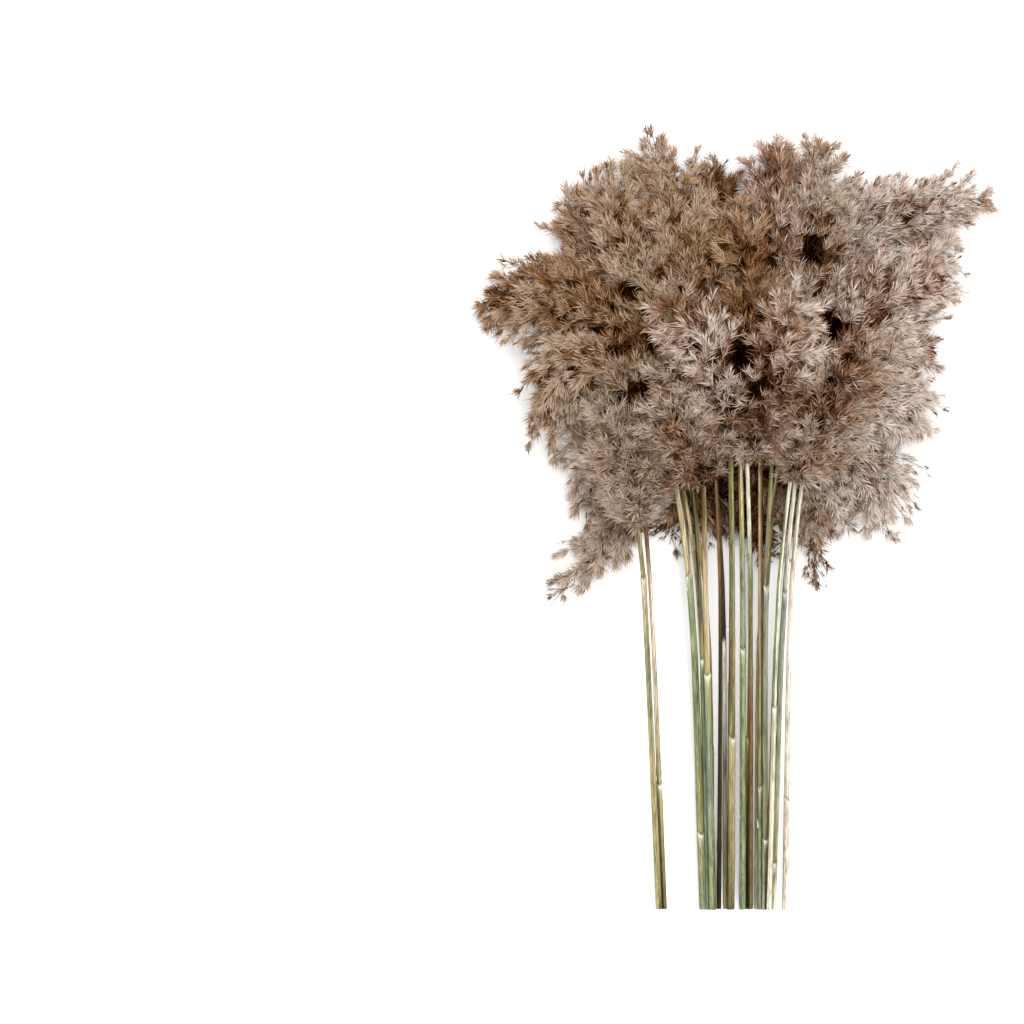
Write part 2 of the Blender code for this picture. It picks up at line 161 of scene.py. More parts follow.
PLUMES = (
    PlumePlan("back_left_low", TAUPE, 3.0, 0.24,
              ((-43, 50, 28), (-56, 47, 23), (-72, 22, 18), (-98, -16, 16), (-143, -68, 7)), tail=0.90),
    PlumePlan("back_left_side", LILAC, 6.0, 0.20,
              ((-49, 70, 28), (-65, 75, 24), (-86, 66, 21), (-104, 41, 19), (-115, 0, 12))),
    PlumePlan("back_hang_left", TAUPE, 3.0, -0.12,
              ((-17, 56, 28), (-29, 53, 22), (-38, 33, 17), (-43, 8, 15), (-50, -20, 8)), sweep=1.5,
              mingle=20.0, dense=1.3, tail=0.78,
              fill=((-24, 24, 12), (-18, 18, 16), (-12, 24, 14), (-6, 16, 16), (-22, 8, 10), (-15, 6, 15),
                    (-8, 4, 10), (-1, 10, 15), (-25, -6, 9), (-17, -6, 13), (-10, -8, 9), (-3, -4, 13),
                    (-21, -15, 8), (-13, -16, 10), (-5, -14, 8), (-20, 30, 20), (-10, 34, 18),
                    (-28, -12, 12), (-29, 14, 16), (-12, 12, 6), (-20, 0, 16), (-6, 28, 8))),
    PlumePlan("back_hang_middle", BROWN, 3.0, -0.20,
              ((9, 58, 28), (17, 54, 20), (19, 32, 15), (18, -2, 13), (24, -38, 8)), sweep=1.5, mingle=20.0,
              dense=1.3, tail=0.76,
              fill=((0, 26, 12), (2, 14, 14), (-3, 4, 14), (4, -6, 12), (-2, -12, 9), (8, -14, 9),
                    (14, -16, 14), (22, -14, 12), (30, -12, 14), (36, -4, 12), (40, 6, 14), (38, 16, 16))),
    PlumePlan("back_hang_right", TAUPE, 3.0, 0.02,
              ((33, 52, 28), (44, 52, 22), (53, 27, 17), (60, -14, 15), (62, -56, 7)), sweep=1.7,
              mingle=14.0, tail=0.70),
    PlumePlan("back_right_low", LILAC, 5.0, 0.51,
              ((48, 62, 28), (62, 62, 23), (86, 46, 20), (107, 25, 18), (114, -12, 12))),
    PlumePlan("back_right_side", LILAC, 7.0, 0.35,
              ((52, 80, 30), (80, 106, 24), (116, 125, 22), (157, 128, 14)),
              fill=((146, 158, 16), (150, 166, 16), (142, 164, 20), (154, 160, 12), (148, 150, 14))),
    PlumePlan("back_right_high", LILAC, 4.0, 0.23,
              ((42, 98, 30), (62, 152, 27), (101, 213, 26), (149, 236, 24), (197, 248, 18)),
              fill=((192, 243, 18), (187, 246, 20), (196, 239, 16), (182, 240, 20))),
    PlumePlan("back_top", BROWN, 2.0, 0.04,
              ((-2, 100, 28), (-9, 150, 26), (-15, 205, 24), (-17, 250, 22), (-16, 279, 18)),
              fill=((12, 98, 16), (16, 94, 20), (9, 102, 18), (13, 90, 16), (18, 100, 16), (8, 94, 20))),
    PlumePlan("back_left_high", TAN, 4.0, 0.13,
              ((-50, 104, 28), (-68, 146, 26), (-98, 200, 24), (-137, 248, 17)),
              fill=((-112, 262, 20), (-104, 268, 22), (-122, 258, 18), (-97, 273, 22), (-129, 253, 16),
                    (-117, 266, 16), (-100, 258, 24), (-106, 252, 24), (-95, 264, 26))),
    PlumePlan("left_sweep", TAN, 14.0, -0.08,
              ((-54, 70, 48), (-70, 112, 54), (-104, 150, 54), (-148, 167, 46), (-199, 164, 24)),
              dense=1.2),
    PlumePlan("left_high", TAN, 5.0, 0.17,
              ((-38, 72, 50), (-50, 118, 56), (-67, 172, 56), (-84, 226, 48), (-99, 277, 34))),
    PlumePlan("top_left", TAN, 2.0, 0.10,
              ((-26, 78, 52), (-32, 124, 58), (-38, 178, 60), (-49, 238, 50), (-70, 300, 30)), tail=0.94),
    PlumePlan("top_middle", LILAC, 2.0, 0.04,
              ((18, 84, 48), (23, 138, 54), (28, 190, 56), (32, 244, 50), (29, 293, 30)),
              fill=((32, 280, 26), (27, 285, 24), (37, 284, 24), (30, 272, 30), (34, 290, 24))),
    PlumePlan("top_right", TAUPE, 3.0, 0.15,
              ((29, 80, 52), (38, 130, 58), (49, 184, 60), (59, 238, 50), (69, 289, 32)),
              fill=((62, 292, 30), (74, 286, 28), (52, 293, 34), (84, 277, 26))),
    PlumePlan("right_high", LILAC, 6.0, 0.20,
              ((50, 70, 50), (68, 112, 58), (97, 150, 60), (131, 181, 50), (173, 205, 28))),
    PlumePlan("right_low", LILAC, 6.0, 0.57,
              ((54, 54, 48), (72, 78, 58), (98, 92, 58), (123, 87, 44), (143, 64, 22)), sweep=1.5),
    PlumePlan("left_nod", BROWN, 8.0, 0.24,
              ((-75, 46, 50), (-80, 90, 70), (-99, 122, 80), (-124, 119, 70), (-139, 92, 52), (-143, 47, 30)),
              sweep=2.6),
    PlumePlan("front_left", TAUPE, 6.0, 0.34,
              ((-75, -4, 46), (-76, 26, 62), (-84, 50, 76), (-96, 76, 86), (-104, 98, 88)), sweep=1.2),
    PlumePlan("front_middle_left", TAUPE, 6.0, 0.12,
              ((-16, 31, 58), (-29, 44, 78), (-42, 68, 92), (-48, 94, 100), (-54, 120, 99)), sweep=1.1),
    PlumePlan("front_high_left", LILAC, 6.0, 0.00,
              ((-5, 50, 64), (-9, 80, 86), (-20, 116, 100), (-37, 146, 105), (-62, 168, 99)), sweep=1.1),
    PlumePlan("front_high", TAN, 4.0, -0.03,
              ((2, 66, 64), (5, 108, 80), (10, 152, 86), (8, 200, 84), (0, 248, 70)), sweep=1.5),
    PlumePlan("front_middle", LILAC, 6.0, -0.01,
              ((8, 43, 60), (14, 74, 84), (25, 112, 102), (36, 148, 112), (42, 172, 108)), sweep=1.1),
    PlumePlan("front_right", TAUPE, 6.0, 0.15,
              ((41, 29, 58), (53, 58, 78), (72, 90, 90), (95, 116, 90), (118, 138, 78)), sweep=1.2),
)

HOLLOWS = (               # gaps where the plumes part, x, y and radius in millimetres: no spikelets there, and painted shade on the strands and stalks round them
    (57, 195, 7.0), (56, 206, 5.5), (-80, 171, 7.0), (-62, 129, 5.5), (1, 121, 10.0), (70, 142, 8.0),
    (10, 95, 5.5), (-9, 20, 7.0), (-92, 123, 5.5), (-71, 94, 6.0), (-84, 88, 5.0), (-57, 182, 5.0),
    (82, 117, 5.0), (23, 192, 5.0), (70, 101, 5.0), (-89, 139, 4.5), (-13, 176, 4.5), (65, 152, 4.5),
)

STEMS = (
    StemPlan("back_left_low", StemTone.OLIVE, 90.0, ((-205, 100),),
             ((-300, OLIVE), (-205, KHAKI), (0, STRAW)),
             ((-300, SAGE), (0, KHAKI))),
    StemPlan("back_left_side", StemTone.STRAW, 90.0, ((-130, 70),),
             ((-300, STRAW), (-130, KHAKI), (20, STRAW)),
             ((-300, KHAKI), (20, STRAW))),
    StemPlan("back_hang_left", StemTone.UMBER, 80.0, ((-95, 110),),
             ((-300, KHAKI), (-190, GREY), (-100, WHITE), (-90, UMBER), (20, CHESTNUT)),
             ((-190, KHAKI), (-100, BLUSH), (-90, UMBER), (20, CHESTNUT))),
    StemPlan("back_hang_middle", StemTone.OLIVE, 90.0, ((-170, 95),),
             ((-300, OLIVE), (0, KHAKI)),
             ((-300, UMBER), (0, OLIVE))),
    StemPlan("back_hang_right", StemTone.SAGE, 90.0, ((-60, 90),),
             ((-300, SAGE), (-60, KHAKI), (20, STRAW)),
             ((-300, GREY), (20, OLIVE))),
    StemPlan("back_right_low", StemTone.STRAW, 90.0, ((-225, 75),),
             ((-300, STRAW), (0, BLUSH)),
             ((-300, KHAKI), (0, STRAW))),
    StemPlan("back_right_side", StemTone.SAGE, 90.0, ((-150, 105),),
             ((-300, SAGE), (0, KHAKI)),
             ((-300, SEA), (0, SAGE))),
    StemPlan("back_right_high", StemTone.STRAW, 90.0, ((-95, 85),),
             ((-300, KHAKI), (0, STRAW)),
             ((-300, STRAW), (0, CHESTNUT))),
    StemPlan("back_top", StemTone.OLIVE, 90.0, ((-130, 95),),
             ((-300, OLIVE), (0, OLIVE)),
             ((-300, SAGE), (0, KHAKI))),
    StemPlan("back_left_high", StemTone.STRAW, 90.0, ((-180, 110),),
             ((-300, KHAKI), (0, STRAW)),
             ((-300, OLIVE), (0, STRAW))),
    StemPlan("left_sweep", StemTone.SAGE, 75.0, ((-243, 80), (-45, 140)),
             ((-300, SAGE), (-250, KHAKI), (-150, SAGE), (-47, SAGE), (-44, STRAW)),
             ((-300, SEA), (-240, KHAKI), (-120, LEAF), (-47, SAGE), (-44, STRAW), (30, CREAM)),
             slivers=((-57, 11.0, -34.0),)),
    StemPlan("left_high", StemTone.OLIVE, 95.0, ((-109, 110),),
             ((-300, SEA), (-112, SAGE), (-108, KHAKI), (-70, OLIVE), (-30, UMBER)),
             ((-300, OLIVE), (-112, SAGE), (-100, STRAW), (-60, OLIVE))),
    StemPlan("top_left", StemTone.SAGE, 70.0, ((-121, 100),),
             ((-300, LEAF), (-210, SEA), (-123, SAGE), (-118, KHAKI), (-60, STRAW), (0, CHESTNUT)),
             ((-300, OLIVE), (-200, LEAF), (-123, KHAKI), (-118, STRAW), (-60, BLUSH), (0, STRAW))),
    StemPlan("top_middle", StemTone.STRAW, 85.0, ((-207, 120),),
             ((-300, SEA), (-209, SAGE), (-204, KHAKI), (-82, KHAKI), (-30, STRAW)),
             ((-209, OLIVE), (-80, CHESTNUT)), slivers=((-236, 8.0, -14.0),)),
    StemPlan("top_right", StemTone.OLIVE, 95.0, ((-247, 75), (-53, 95)),
             ((-300, GREY), (-249, SAGE), (-56, SEA), (-50, GREY), (30, OLIVE)),
             ((-300, UMBER), (-249, OLIVE), (-56, GREY), (-50, OLIVE), (30, KHAKI))),
    StemPlan("right_high", StemTone.CREAM, 80.0, ((-265, 80), (-58, 85)),
             ((-300, GREY), (-266, SAGE), (-60, SEA), (-54, GREY), (30, CREAM)),
             ((-300, CREAM), (-266, KHAKI), (-60, GREY), (-54, CREAM), (30, BLUSH)),
             slivers=((-198, 9.0, 14.0),)),
    StemPlan("right_low", StemTone.CREAM, 100.0, ((-217, 50),),
             ((-60, BLUSH), (0, GREY), (30, CREAM)),
             ((-60, BLUSH), (0, CREAM))),
    StemPlan("left_nod", StemTone.UMBER, 100.0, ((-205, 80),),
             ((-300, UMBER), (-200, OLIVE), (-130, BLUSH), (-60, STRAW), (-20, CHESTNUT)),
             ((-300, OLIVE), (-205, KHAKI), (-140, STRAW), (-60, BLUSH), (-20, CHESTNUT))),
    StemPlan("front_left", StemTone.OLIVE, 82.0, ((-47, 95),),
             ((-190, KHAKI), (-130, SAGE), (-95, SAGE), (-60, STRAW), (-49, STRAW), (-45, KHAKI),
              (-5, OLIVE)),
             ((-300, OLIVE), (-205, STRAW), (-100, OLIVE), (-60, STRAW), (-49, KHAKI), (-45, SAGE),
              (-5, STRAW))),
    StemPlan("front_middle_left", StemTone.UMBER, 60.0, (),
             ((-100, UMBER), (-40, CHESTNUT)),
             ((-300, UMBER), (-120, OLIVE), (-90, UMBER), (0, CHESTNUT))),
    StemPlan("front_high_left", StemTone.OLIVE, 78.0, ((-169, 70),),
             ((-300, OLIVE), (-170, KHAKI), (-140, OLIVE), (-112, CHESTNUT), (-85, OLIVE)),
             ((-300, OLIVE), (-200, STRAW), (-160, OLIVE), (-102, KHAKI), (-60, SAGE), (30, KHAKI))),
    StemPlan("front_high", StemTone.SAGE, 110.0, ((-101, 95),),
             ((-180, SEA), (-104, SAGE), (-98, GREY), (-40, GREY), (0, KHAKI), (40, OLIVE)),
             ((-104, LEAF), (-98, SAGE), (-40, SAGE), (40, STRAW)), slivers=((-228, 9.0, -18.0),)),
    StemPlan("front_middle", StemTone.CREAM, 105.0, (),
             ((-300, UMBER), (-135, CHESTNUT), (-110, OLIVE), (-70, OLIVE), (-45, LEAF), (0, CREAM)),
             ((-300, OLIVE), (-200, CHESTNUT), (-135, CHESTNUT), (-116, OLIVE), (-50, OLIVE), (0, CREAM))),
    StemPlan("front_right", StemTone.CREAM, 95.0, ((-146, 85),),
             ((-300, CREAM), (-148, KHAKI), (-143, LEAF), (-55, LEAF), (0, SAGE), (20, CREAM)),
             ((-300, BLUSH), (-148, CREAM))),
)


# ---------------------------------------------------------------- curves and frames

def smooth_path(points: tuple[Triple, ...], count: int, fine_steps: int = 24) -> np.ndarray:
    """Read an even row of places off the smooth curve through some points.

    Args:
        points: the curve's own points, in millimetres.
        count: how many places to return.
        fine_steps: how many steps the curve is worked out in between two of its points.

    Returns:
        The places in metres, one row each.
    """
    known = np.array(points, dtype=float)
    ends = np.vstack([2 * known[0] - known[1], known, 2 * known[-1] - known[-2]])
    steps = np.linspace(0.0, 1.0, fine_steps, endpoint=False)[:, None]
    runs = []
    for a, b, c, d in zip(ends, ends[1:], ends[2:], ends[3:]):
        runs.append(0.5 * (2 * b + (c - a) * steps + (2 * a - 5 * b + 4 * c - d) * steps ** 2
                           + (3 * b - a - 3 * c + d) * steps ** 3))
    fine = np.vstack([*runs, known[-1:]])
    run = np.concatenate([[0.0], np.cumsum(np.linalg.norm(np.diff(fine, axis=0), axis=1))])
    wanted = np.linspace(0.0, run[-1], count)
    return MM * np.column_stack([np.interp(wanted, run, fine[:, k]) for k in range(3)])


def unit(rows: np.ndarray) -> np.ndarray:
    """Return the rows scaled to length one."""
    return rows / np.maximum(np.linalg.norm(rows, axis=-1, keepdims=True), 1e-12)


def cloud(places: np.ndarray, scale: float, shift: Triple = (0.0, 0.0, 0.0)) -> np.ndarray:
    """Return smooth noise at each place, with the given waves to a metre."""
    return np.array([noise.noise(Vector(place) * scale + Vector(shift)) for place in places])


def lobes(places: np.ndarray) -> np.ndarray:
    """Return how far each place is on a lobe of the plumes, 1, or in a valley between them, -1."""
    return np.clip(cloud(places, LOBE_WAVES, LOBE_SHIFT) * LOBE_EDGE, -1.0, 1.0)


def parted(places: np.ndarray) -> np.ndarray:
    """Tell how near each place is, seen from above, to a gap where the plumes part.

    Args:
        places: the places, one row each.

    Returns:
        For each place 1 in the middle of a gap, and less round it.
    """
    hollows = np.array(HOLLOWS) * MM
    away = np.linalg.norm(places[:, None, :2] - hollows[None, :, :2], axis=2) / hollows[:, 2]
    return np.exp(-away.min(axis=1) ** 2)


def put(name: str, data: bpy.types.ID) -> bpy.types.Object:
    """Put a new object into the scene.

    Args:
        name: the object's name.
        data: the mesh, lamp or camera that it holds.

    Returns:
        The object.
    """
    thing = bpy.data.objects.new(name, data)
    bpy.context.scene.collection.objects.link(thing)
    return thing


def strand_mesh(name: str, corners: np.ndarray, faces: list[tuple[int, ...]],
                maps: list[Pair]) -> bpy.types.Mesh:
    """Make a mesh with the strand map.

    Args:
        name: the mesh's name.
        corners: its corners, one row each.
        faces: which corners each face has.
        maps: the place on the map of every corner of every face.

    Returns:
        The mesh.
    """
    mesh = bpy.data.meshes.new(name)
    mesh.from_pydata([tuple(corner) for corner in corners], [], faces)
    layer = mesh.uv_layers.new(name=STRAND_MAP)
    layer.uv.foreach_set("vector", np.array(maps, dtype=np.float32).ravel())
    return mesh


class Spine:
    """A smooth line with a frame of directions along it."""

    def __init__(self, places: np.ndarray) -> None:
        """Work out the directions along, across and up from a line.

        Args:
            places: the line's places, one row each.
        """
        self.places = places
        self.along = unit(np.gradient(places, axis=0))
        self.across = unit(np.cross(self.along, np.array([0.0, 0.0, 1.0])))
        self.up = np.cross(self.across, self.along)
        self.shares = np.linspace(0.0, 1.0, len(places))
        self.length = float(np.linalg.norm(np.diff(places, axis=0), axis=1).sum())

    def at(self, share: np.ndarray) -> np.ndarray:
        """Return the places at shares of the length."""
        return self._read(self.places, share)

    def ahead(self, share: np.ndarray) -> np.ndarray:
        """Return the directions along the line."""
        return unit(self._read(self.along, share))

    def nearest(self, places: np.ndarray) -> np.ndarray:
        """Return the share of the length that is nearest to each place."""
        gaps = np.linalg.norm(places[:, None, :] - self.places[None, :, :], axis=2)
        return self.shares[np.argmin(gaps, axis=1)]

    def _read(self, rows: np.ndarray, share: np.ndarray) -> np.ndarray:
        """Return rows read at shares of the length."""
        return np.stack([np.interp(share, self.shares, rows[:, k]) for k in range(3)], axis=-1)


# ---------------------------------------------------------------- node trees

class NodeSheet:
    """A node tree with short calls to add its nodes and join them."""

    def __init__(self, tree: bpy.types.NodeTree) -> None:
        """Keep the tree that the nodes go into."""
        self.tree = tree

    def feed(self, node: bpy.types.Node, feeds: dict) -> None:
        """Give a node's inputs, by name or number, a constant or another node's output."""
        for key, value in feeds.items():
            if isinstance(value, bpy.types.NodeSocket):
                self.tree.links.new(value, node.inputs[key])
            else:
                node.inputs[key].default_value = value

    def add(self, kind: str, feeds: dict | None = None, **settings: object) -> bpy.types.Node:
        """Add a node.

        Args:
            kind: the node's type.
            feeds: what goes into its inputs, by their name or number.
            **settings: the node's own settings.

        Returns:
            The new node.
        """
        node = self.tree.nodes.new(kind)
        for key, value in settings.items():
            setattr(node, key, value)
        self.feed(node, feeds or {})
        return node

    def math(self, operation: str, *values: object) -> bpy.types.NodeSocket:
        """Add a Math node and return its result."""
        return self.add("ShaderNodeMath", dict(enumerate(values)), operation=operation).outputs[0]

    def blend(self, share: object, first: object, second: object,
              blend_type: str = "MIX") -> bpy.types.NodeSocket:
        """Add a colour Mix node and return its result."""
        return self.add("ShaderNodeMix", {0: share, 6: first, 7: second}, data_type="RGBA",
                        blend_type=blend_type, clamp_factor=True).outputs[2]

    def span(self, value: object, low: float, high: float,
             to_low: float = 0.0, to_high: float = 1.0) -> bpy.types.NodeSocket:
        """Add a Map Range node with a smooth step and return its result."""
        return self.add("ShaderNodeMapRange", {0: value, 1: low, 2: high, 3: to_low, 4: to_high},
                        interpolation_type="SMOOTHSTEP").outputs[0]

    def ramp(self, value: object, stops: list[tuple[float, Triple]]) -> bpy.types.NodeSocket:
        """Add a Color Ramp node.

        Args:
            value: what it reads.
            stops: the place and the colour of each stop.

        Returns:
            Its colour.
        """
        node = self.add("ShaderNodeValToRGB", {0: value})
        elements = node.color_ramp.elements
        while len(elements) < len(stops):
            elements.new(0.5)
        for element, (place, colour) in zip(elements, stops):
            element.position = place
            element.color = (*colour, 1.0)
        return node.outputs[0]

    def axes(self, value: object) -> bpy.types.NodeOutputs:
        """Add a Separate XYZ node and return its outputs."""
        return self.add("ShaderNodeSeparateXYZ", {0: value}).outputs

    def strand(self) -> bpy.types.NodeOutputs:
        """Add nodes that read the strand map and return its axes."""
        return self.axes(self.add("ShaderNodeUVMap", uv_map=STRAND_MAP).outputs[0])

    def attribute(self, name: str, data_type: str = "FLOAT") -> bpy.types.NodeSocket:
        """Add a Named Attribute node and return its value."""
        return self.add("GeometryNodeInputNamedAttribute", {"Name": name},
                        data_type=data_type).outputs["Attribute"]

    def store_map(self, geometry: bpy.types.NodeSocket, value: object) -> bpy.types.NodeSocket:
        """Add a node that stores the strand map and return the geometry."""
        return self.add("GeometryNodeStoreNamedAttribute",
                        {"Geometry": geometry, "Name": STRAND_MAP, "Value": value},
                        data_type="FLOAT2", domain="CORNER").outputs[0]


class ShaderGroup:
    """A shader node group that is built once and shared by the materials that use it."""

    NAME = ""
    INPUTS: dict[str, str] = {}        # the kind of each socket, by name
    OUTPUTS: dict[str, str] = {}

    def build(self) -> bpy.types.NodeTree:
        """Build the group, or find it where it is built already.

        Returns:
            The group's tree.
        """
        tree = bpy.data.node_groups.get(self.NAME)
        if tree is None:
            tree = bpy.data.node_groups.new(self.NAME, "ShaderNodeTree")
            for way, sockets in (("INPUT", self.INPUTS), ("OUTPUT", self.OUTPUTS)):
                for name, kind in sockets.items():
                    tree.interface.new_socket(name, in_out=way, socket_type="NodeSocket" + kind)
            sheet = NodeSheet(tree)
            results = self._wire(sheet, sheet.add("NodeGroupInput").outputs)
            sheet.add("NodeGroupOutput", results)
        return tree

    def _wire(self, sheet: NodeSheet, inputs: bpy.types.NodeOutputs) -> dict[str, bpy.types.NodeSocket]:
        """Add the group's nodes and return what goes to its outputs."""
        raise NotImplementedError


class StrandPalette(ShaderGroup):
    """Colours florets and hairs by their tone, and darkens them towards the root with painted shade."""

    NAME = "strand_palette"
    STOPS = {"Deep": 0.0, "Brown": 0.30, "Body": 0.55, "Pale": 0.78, "Bleached": 1.0}
    INPUTS = {**dict.fromkeys(STOPS, "Color"), "Root Shade": "Float"}
    OUTPUTS = {"Color": "Color"}
    ROOT_END = 0.8             # share of a strand over which the root's shade fades out

    def _wire(self, sheet: NodeSheet, inputs: bpy.types.NodeOutputs) -> dict[str, bpy.types.NodeSocket]:
        """Blend from stop to stop along the tone, then shade the root.

        Args:
            sheet: the group's nodes.
            inputs: the group's inputs.

        Returns:
            What goes to each output.
        """
        axes = sheet.strand()
        stops = list(self.STOPS.items())
        colour = inputs["Deep"]
        for (_, low), (name, high) in zip(stops, stops[1:]):
            colour = sheet.blend(sheet.span(axes[0], low, high), colour, inputs[name])
        root = sheet.span(axes[1], 0.0, self.ROOT_END, 1.0, 0.0)
        shade = sheet.math("MULTIPLY", root, inputs["Root Shade"])
        return {"Color": sheet.blend(shade, colour, inputs["Deep"])}


class CaneGrain(ShaderGroup):
    """Adds the grain, mottling, streaks and specks of a dry stem to its colour."""

    NAME = "cane_grain"
    INPUTS = {"Color": "Color", "Grain": "Float", "Mottle": "Float", "Streaks": "Float", "Specks": "Float"}
    OUTPUTS = {"Color": "Color", "Roughness": "Float", "Height": "Float"}
    WAVES = {"Grain": (1100.0, 14.0, 1100.0), "Mottle": (60.0, 18.0, 60.0),
             "Specks": (420.0, 160.0, 420.0), "Streaks": (420.0, 5.0, 420.0)}    # to a metre
    DETAIL = 3.0               # layers of finer waves in each wave, and how strong each next one is
    FINER = 0.6
    EDGES = {"Grain": (0.30, 0.70), "Mottle": (0.30, 0.72), "Streaks": (0.36, 0.64)}
    SPECK_EDGES = (0.66, 0.74)
    ROUGH_EDGES = (0.3, 0.7)
    ROUGHNESS = (0.40, 0.58)

    def _wire(self, sheet: NodeSheet, inputs: bpy.types.NodeOutputs) -> dict[str, bpy.types.NodeSocket]:
        """Light and darken the colour in three kinds of wave, then add the specks.

        Args:
            sheet: the group's nodes.
            inputs: the group's inputs.

        Returns:
            What goes to each output.
        """
        place = sheet.add("ShaderNodeTexCoord").outputs["Object"]
        waves = {}
        for name, scale in self.WAVES.items():
            spread = sheet.add("ShaderNodeMapping", {"Vector": place, "Scale": scale}).outputs[0]
            waves[name] = sheet.add("ShaderNodeTexNoise", {"Vector": spread, "Scale": 1.0,
                                                           "Detail": self.DETAIL,
                                                           "Roughness": self.FINER}).outputs[0]
        light = 1.0
        for name, edges in self.EDGES.items():
            band = sheet.span(waves[name], *edges, -0.5, 0.5)
            light = sheet.math("MULTIPLY_ADD", band, inputs[name], light)
        grey = sheet.add("ShaderNodeCombineColor", {0: light, 1: light, 2: light}).outputs[0]
        colour = sheet.blend(1.0, inputs["Color"], grey, "MULTIPLY")
        dots = sheet.math("MULTIPLY", sheet.span(waves["Specks"], *self.SPECK_EDGES), inputs["Specks"])
        return {"Color": sheet.blend(dots, colour, (*UMBER.value, 1.0)),
                "Roughness": sheet.span(waves["Mottle"], *self.ROUGH_EDGES, *self.ROUGHNESS),
                "Height": waves["Grain"]}


# ---------------------------------------------------------------- finishes

def new_material(name: str) -> tuple[bpy.types.Material, NodeSheet, bpy.types.Node]:
    """Make a new material.

    Args:
        name: the material's name.

    Returns:
        The material, the sheet of its nodes and its Principled shader.
    """
    material = bpy.data.materials.new(name)
    material.use_nodes = True
    return material, NodeSheet(material.node_tree), material.node_tree.nodes["Principled BSDF"]


@dataclass(frozen=True)
class PlumeFinish:
    """The colours of one cast of plume, in the order of the strand palette's stops."""

    colours: tuple[Triple, ...]
    root_shade: float = 0.6
    roughness: float = 0.85
    gloss: float = 0.0

    def material(self, name: str) -> bpy.types.Material:
        """Make the finish's material, or find it where it is made already.

        Args:
            name: the material's name.

        Returns:
            The material.
        """
        material = bpy.data.materials.get(name)
        if material is None:
            material, sheet, shader = new_material(name)
            feeds = {stop: (*colour, 1.0) for stop, colour in zip(StrandPalette.STOPS, self.colours)}
            group = sheet.add("ShaderNodeGroup", {**feeds, "Root Shade": self.root_shade},
                              node_tree=StrandPalette().build())
            sheet.feed(shader, {"Base Color": group.outputs["Color"], "Roughness": self.roughness,
                                "Specular IOR Level": self.gloss})
        return material


# the first colour of each cast is painted shade, for strands deep inside and at their roots
PLUME_FINISHES = {
    TAN: PlumeFinish((paint(24, 7, 1), paint(92, 52, 19), paint(145, 102, 64),
                      paint(171, 136, 102), paint(191, 167, 142))),
    TAUPE: PlumeFinish((paint(23, 8, 2), paint(88, 50, 22), paint(143, 104, 74),
                        paint(171, 141, 114), paint(195, 176, 158))),
    BROWN: PlumeFinish((paint(20, 6, 1), paint(82, 42, 13), paint(135, 90, 52),
                        paint(164, 128, 93), paint(187, 164, 141))),
    LILAC: PlumeFinish((paint(26, 10, 3), paint(96, 55, 26), paint(156, 118, 92),
                        paint(188, 157, 134), paint(216, 201, 189))),
}


@dataclass(frozen=True)
class StemFinish:
    """The finish of a dry stem: two flanks of colour, a seam, painted shade at its sides, grain, and its
    sheath mouths.
    """

    plan: StemPlan
    neck_y: float
    foot_y: float = -300.0
    grain: float = 0.60
    mottle: float = 0.30
    specks: float = 0.45
    streaks: float = 0.50          # how far pale and dark bands stand out along the stem
    flank_shade: float = 0.60            # painted shade: how dark the stem is towards its left and right sides, as seen from above
    flank_shade_from: float = 0.78       # where that painted shade begins: the cosine of the turn
    seam_width: float = 0.03       # turns over which one flank's colour goes over into the other's
    seam_line: float = 0.6         # how dark the line is where the sheath's edges meet
    seam_edges: Pair = (0.008, 0.026)    # turns from the seam over which the line fades
    bump: float = 0.25
    bump_height: float = 0.0004
    gloss: float = 0.2

    def material(self) -> bpy.types.Material:
        """Make the stem's own material.

        Returns:
            The material.
        """
        material, sheet, shader = new_material("stem_%s_cane" % self.plan.name)
        axes = sheet.strand()
        left, right = (sheet.ramp(axes[1], self._stops(stops)) for stops in (self.plan.left, self.plan.right))
        away = sheet.math("SUBTRACT", axes[0], self.plan.seam / 360.0)
        colour = sheet.blend(sheet.span(away, -self.seam_width, self.seam_width), right, left)
        gap = sheet.span(sheet.math("ABSOLUTE", away), *self.seam_edges, self.seam_line, 0.0)
        turned = sheet.math("ABSOLUTE", sheet.math("COSINE", sheet.math("MULTIPLY", axes[0], math.tau)))
        flank_shade = sheet.span(turned, self.flank_shade_from, 1.0, 0.0, self.flank_shade)
        crease, pale = (sheet.add("ShaderNodeAttribute", attribute_name=name).outputs["Fac"]
                        for name in ("crease", "pale"))
        # dark seam line, painted shade at the sides, dark crease and pale sheath edge
        for mask, mark in ((gap, UMBER), (flank_shade, UMBER), (crease, UMBER), (pale, WHITE)):
            colour = sheet.blend(mask, colour, (*mark.value, 1.0))
        group = sheet.add("ShaderNodeGroup", {"Color": colour, "Grain": self.grain, "Mottle": self.mottle,
                                              "Specks": self.specks, "Streaks": self.streaks},
                          node_tree=CaneGrain().build())
        bump = sheet.add("ShaderNodeBump", {"Strength": self.bump, "Distance": self.bump_height,
                                            "Height": group.outputs["Height"]})
        sheet.feed(shader, {"Base Color": group.outputs["Color"], "Roughness": group.outputs["Roughness"],
                            "Specular IOR Level": self.gloss, "Normal": bump.outputs[0]})
        return material

    def _stops(self, stops: Stops) -> list[tuple[float, Triple]]:
        """Return colour stops placed by their share of the stem's length."""
        length = self.neck_y - self.foot_y
        return [(min(1.0, max(0.0, (y - self.foot_y) / length)), cane.value) for y, cane in stops]


# ---------------------------------------------------------------- spikelets

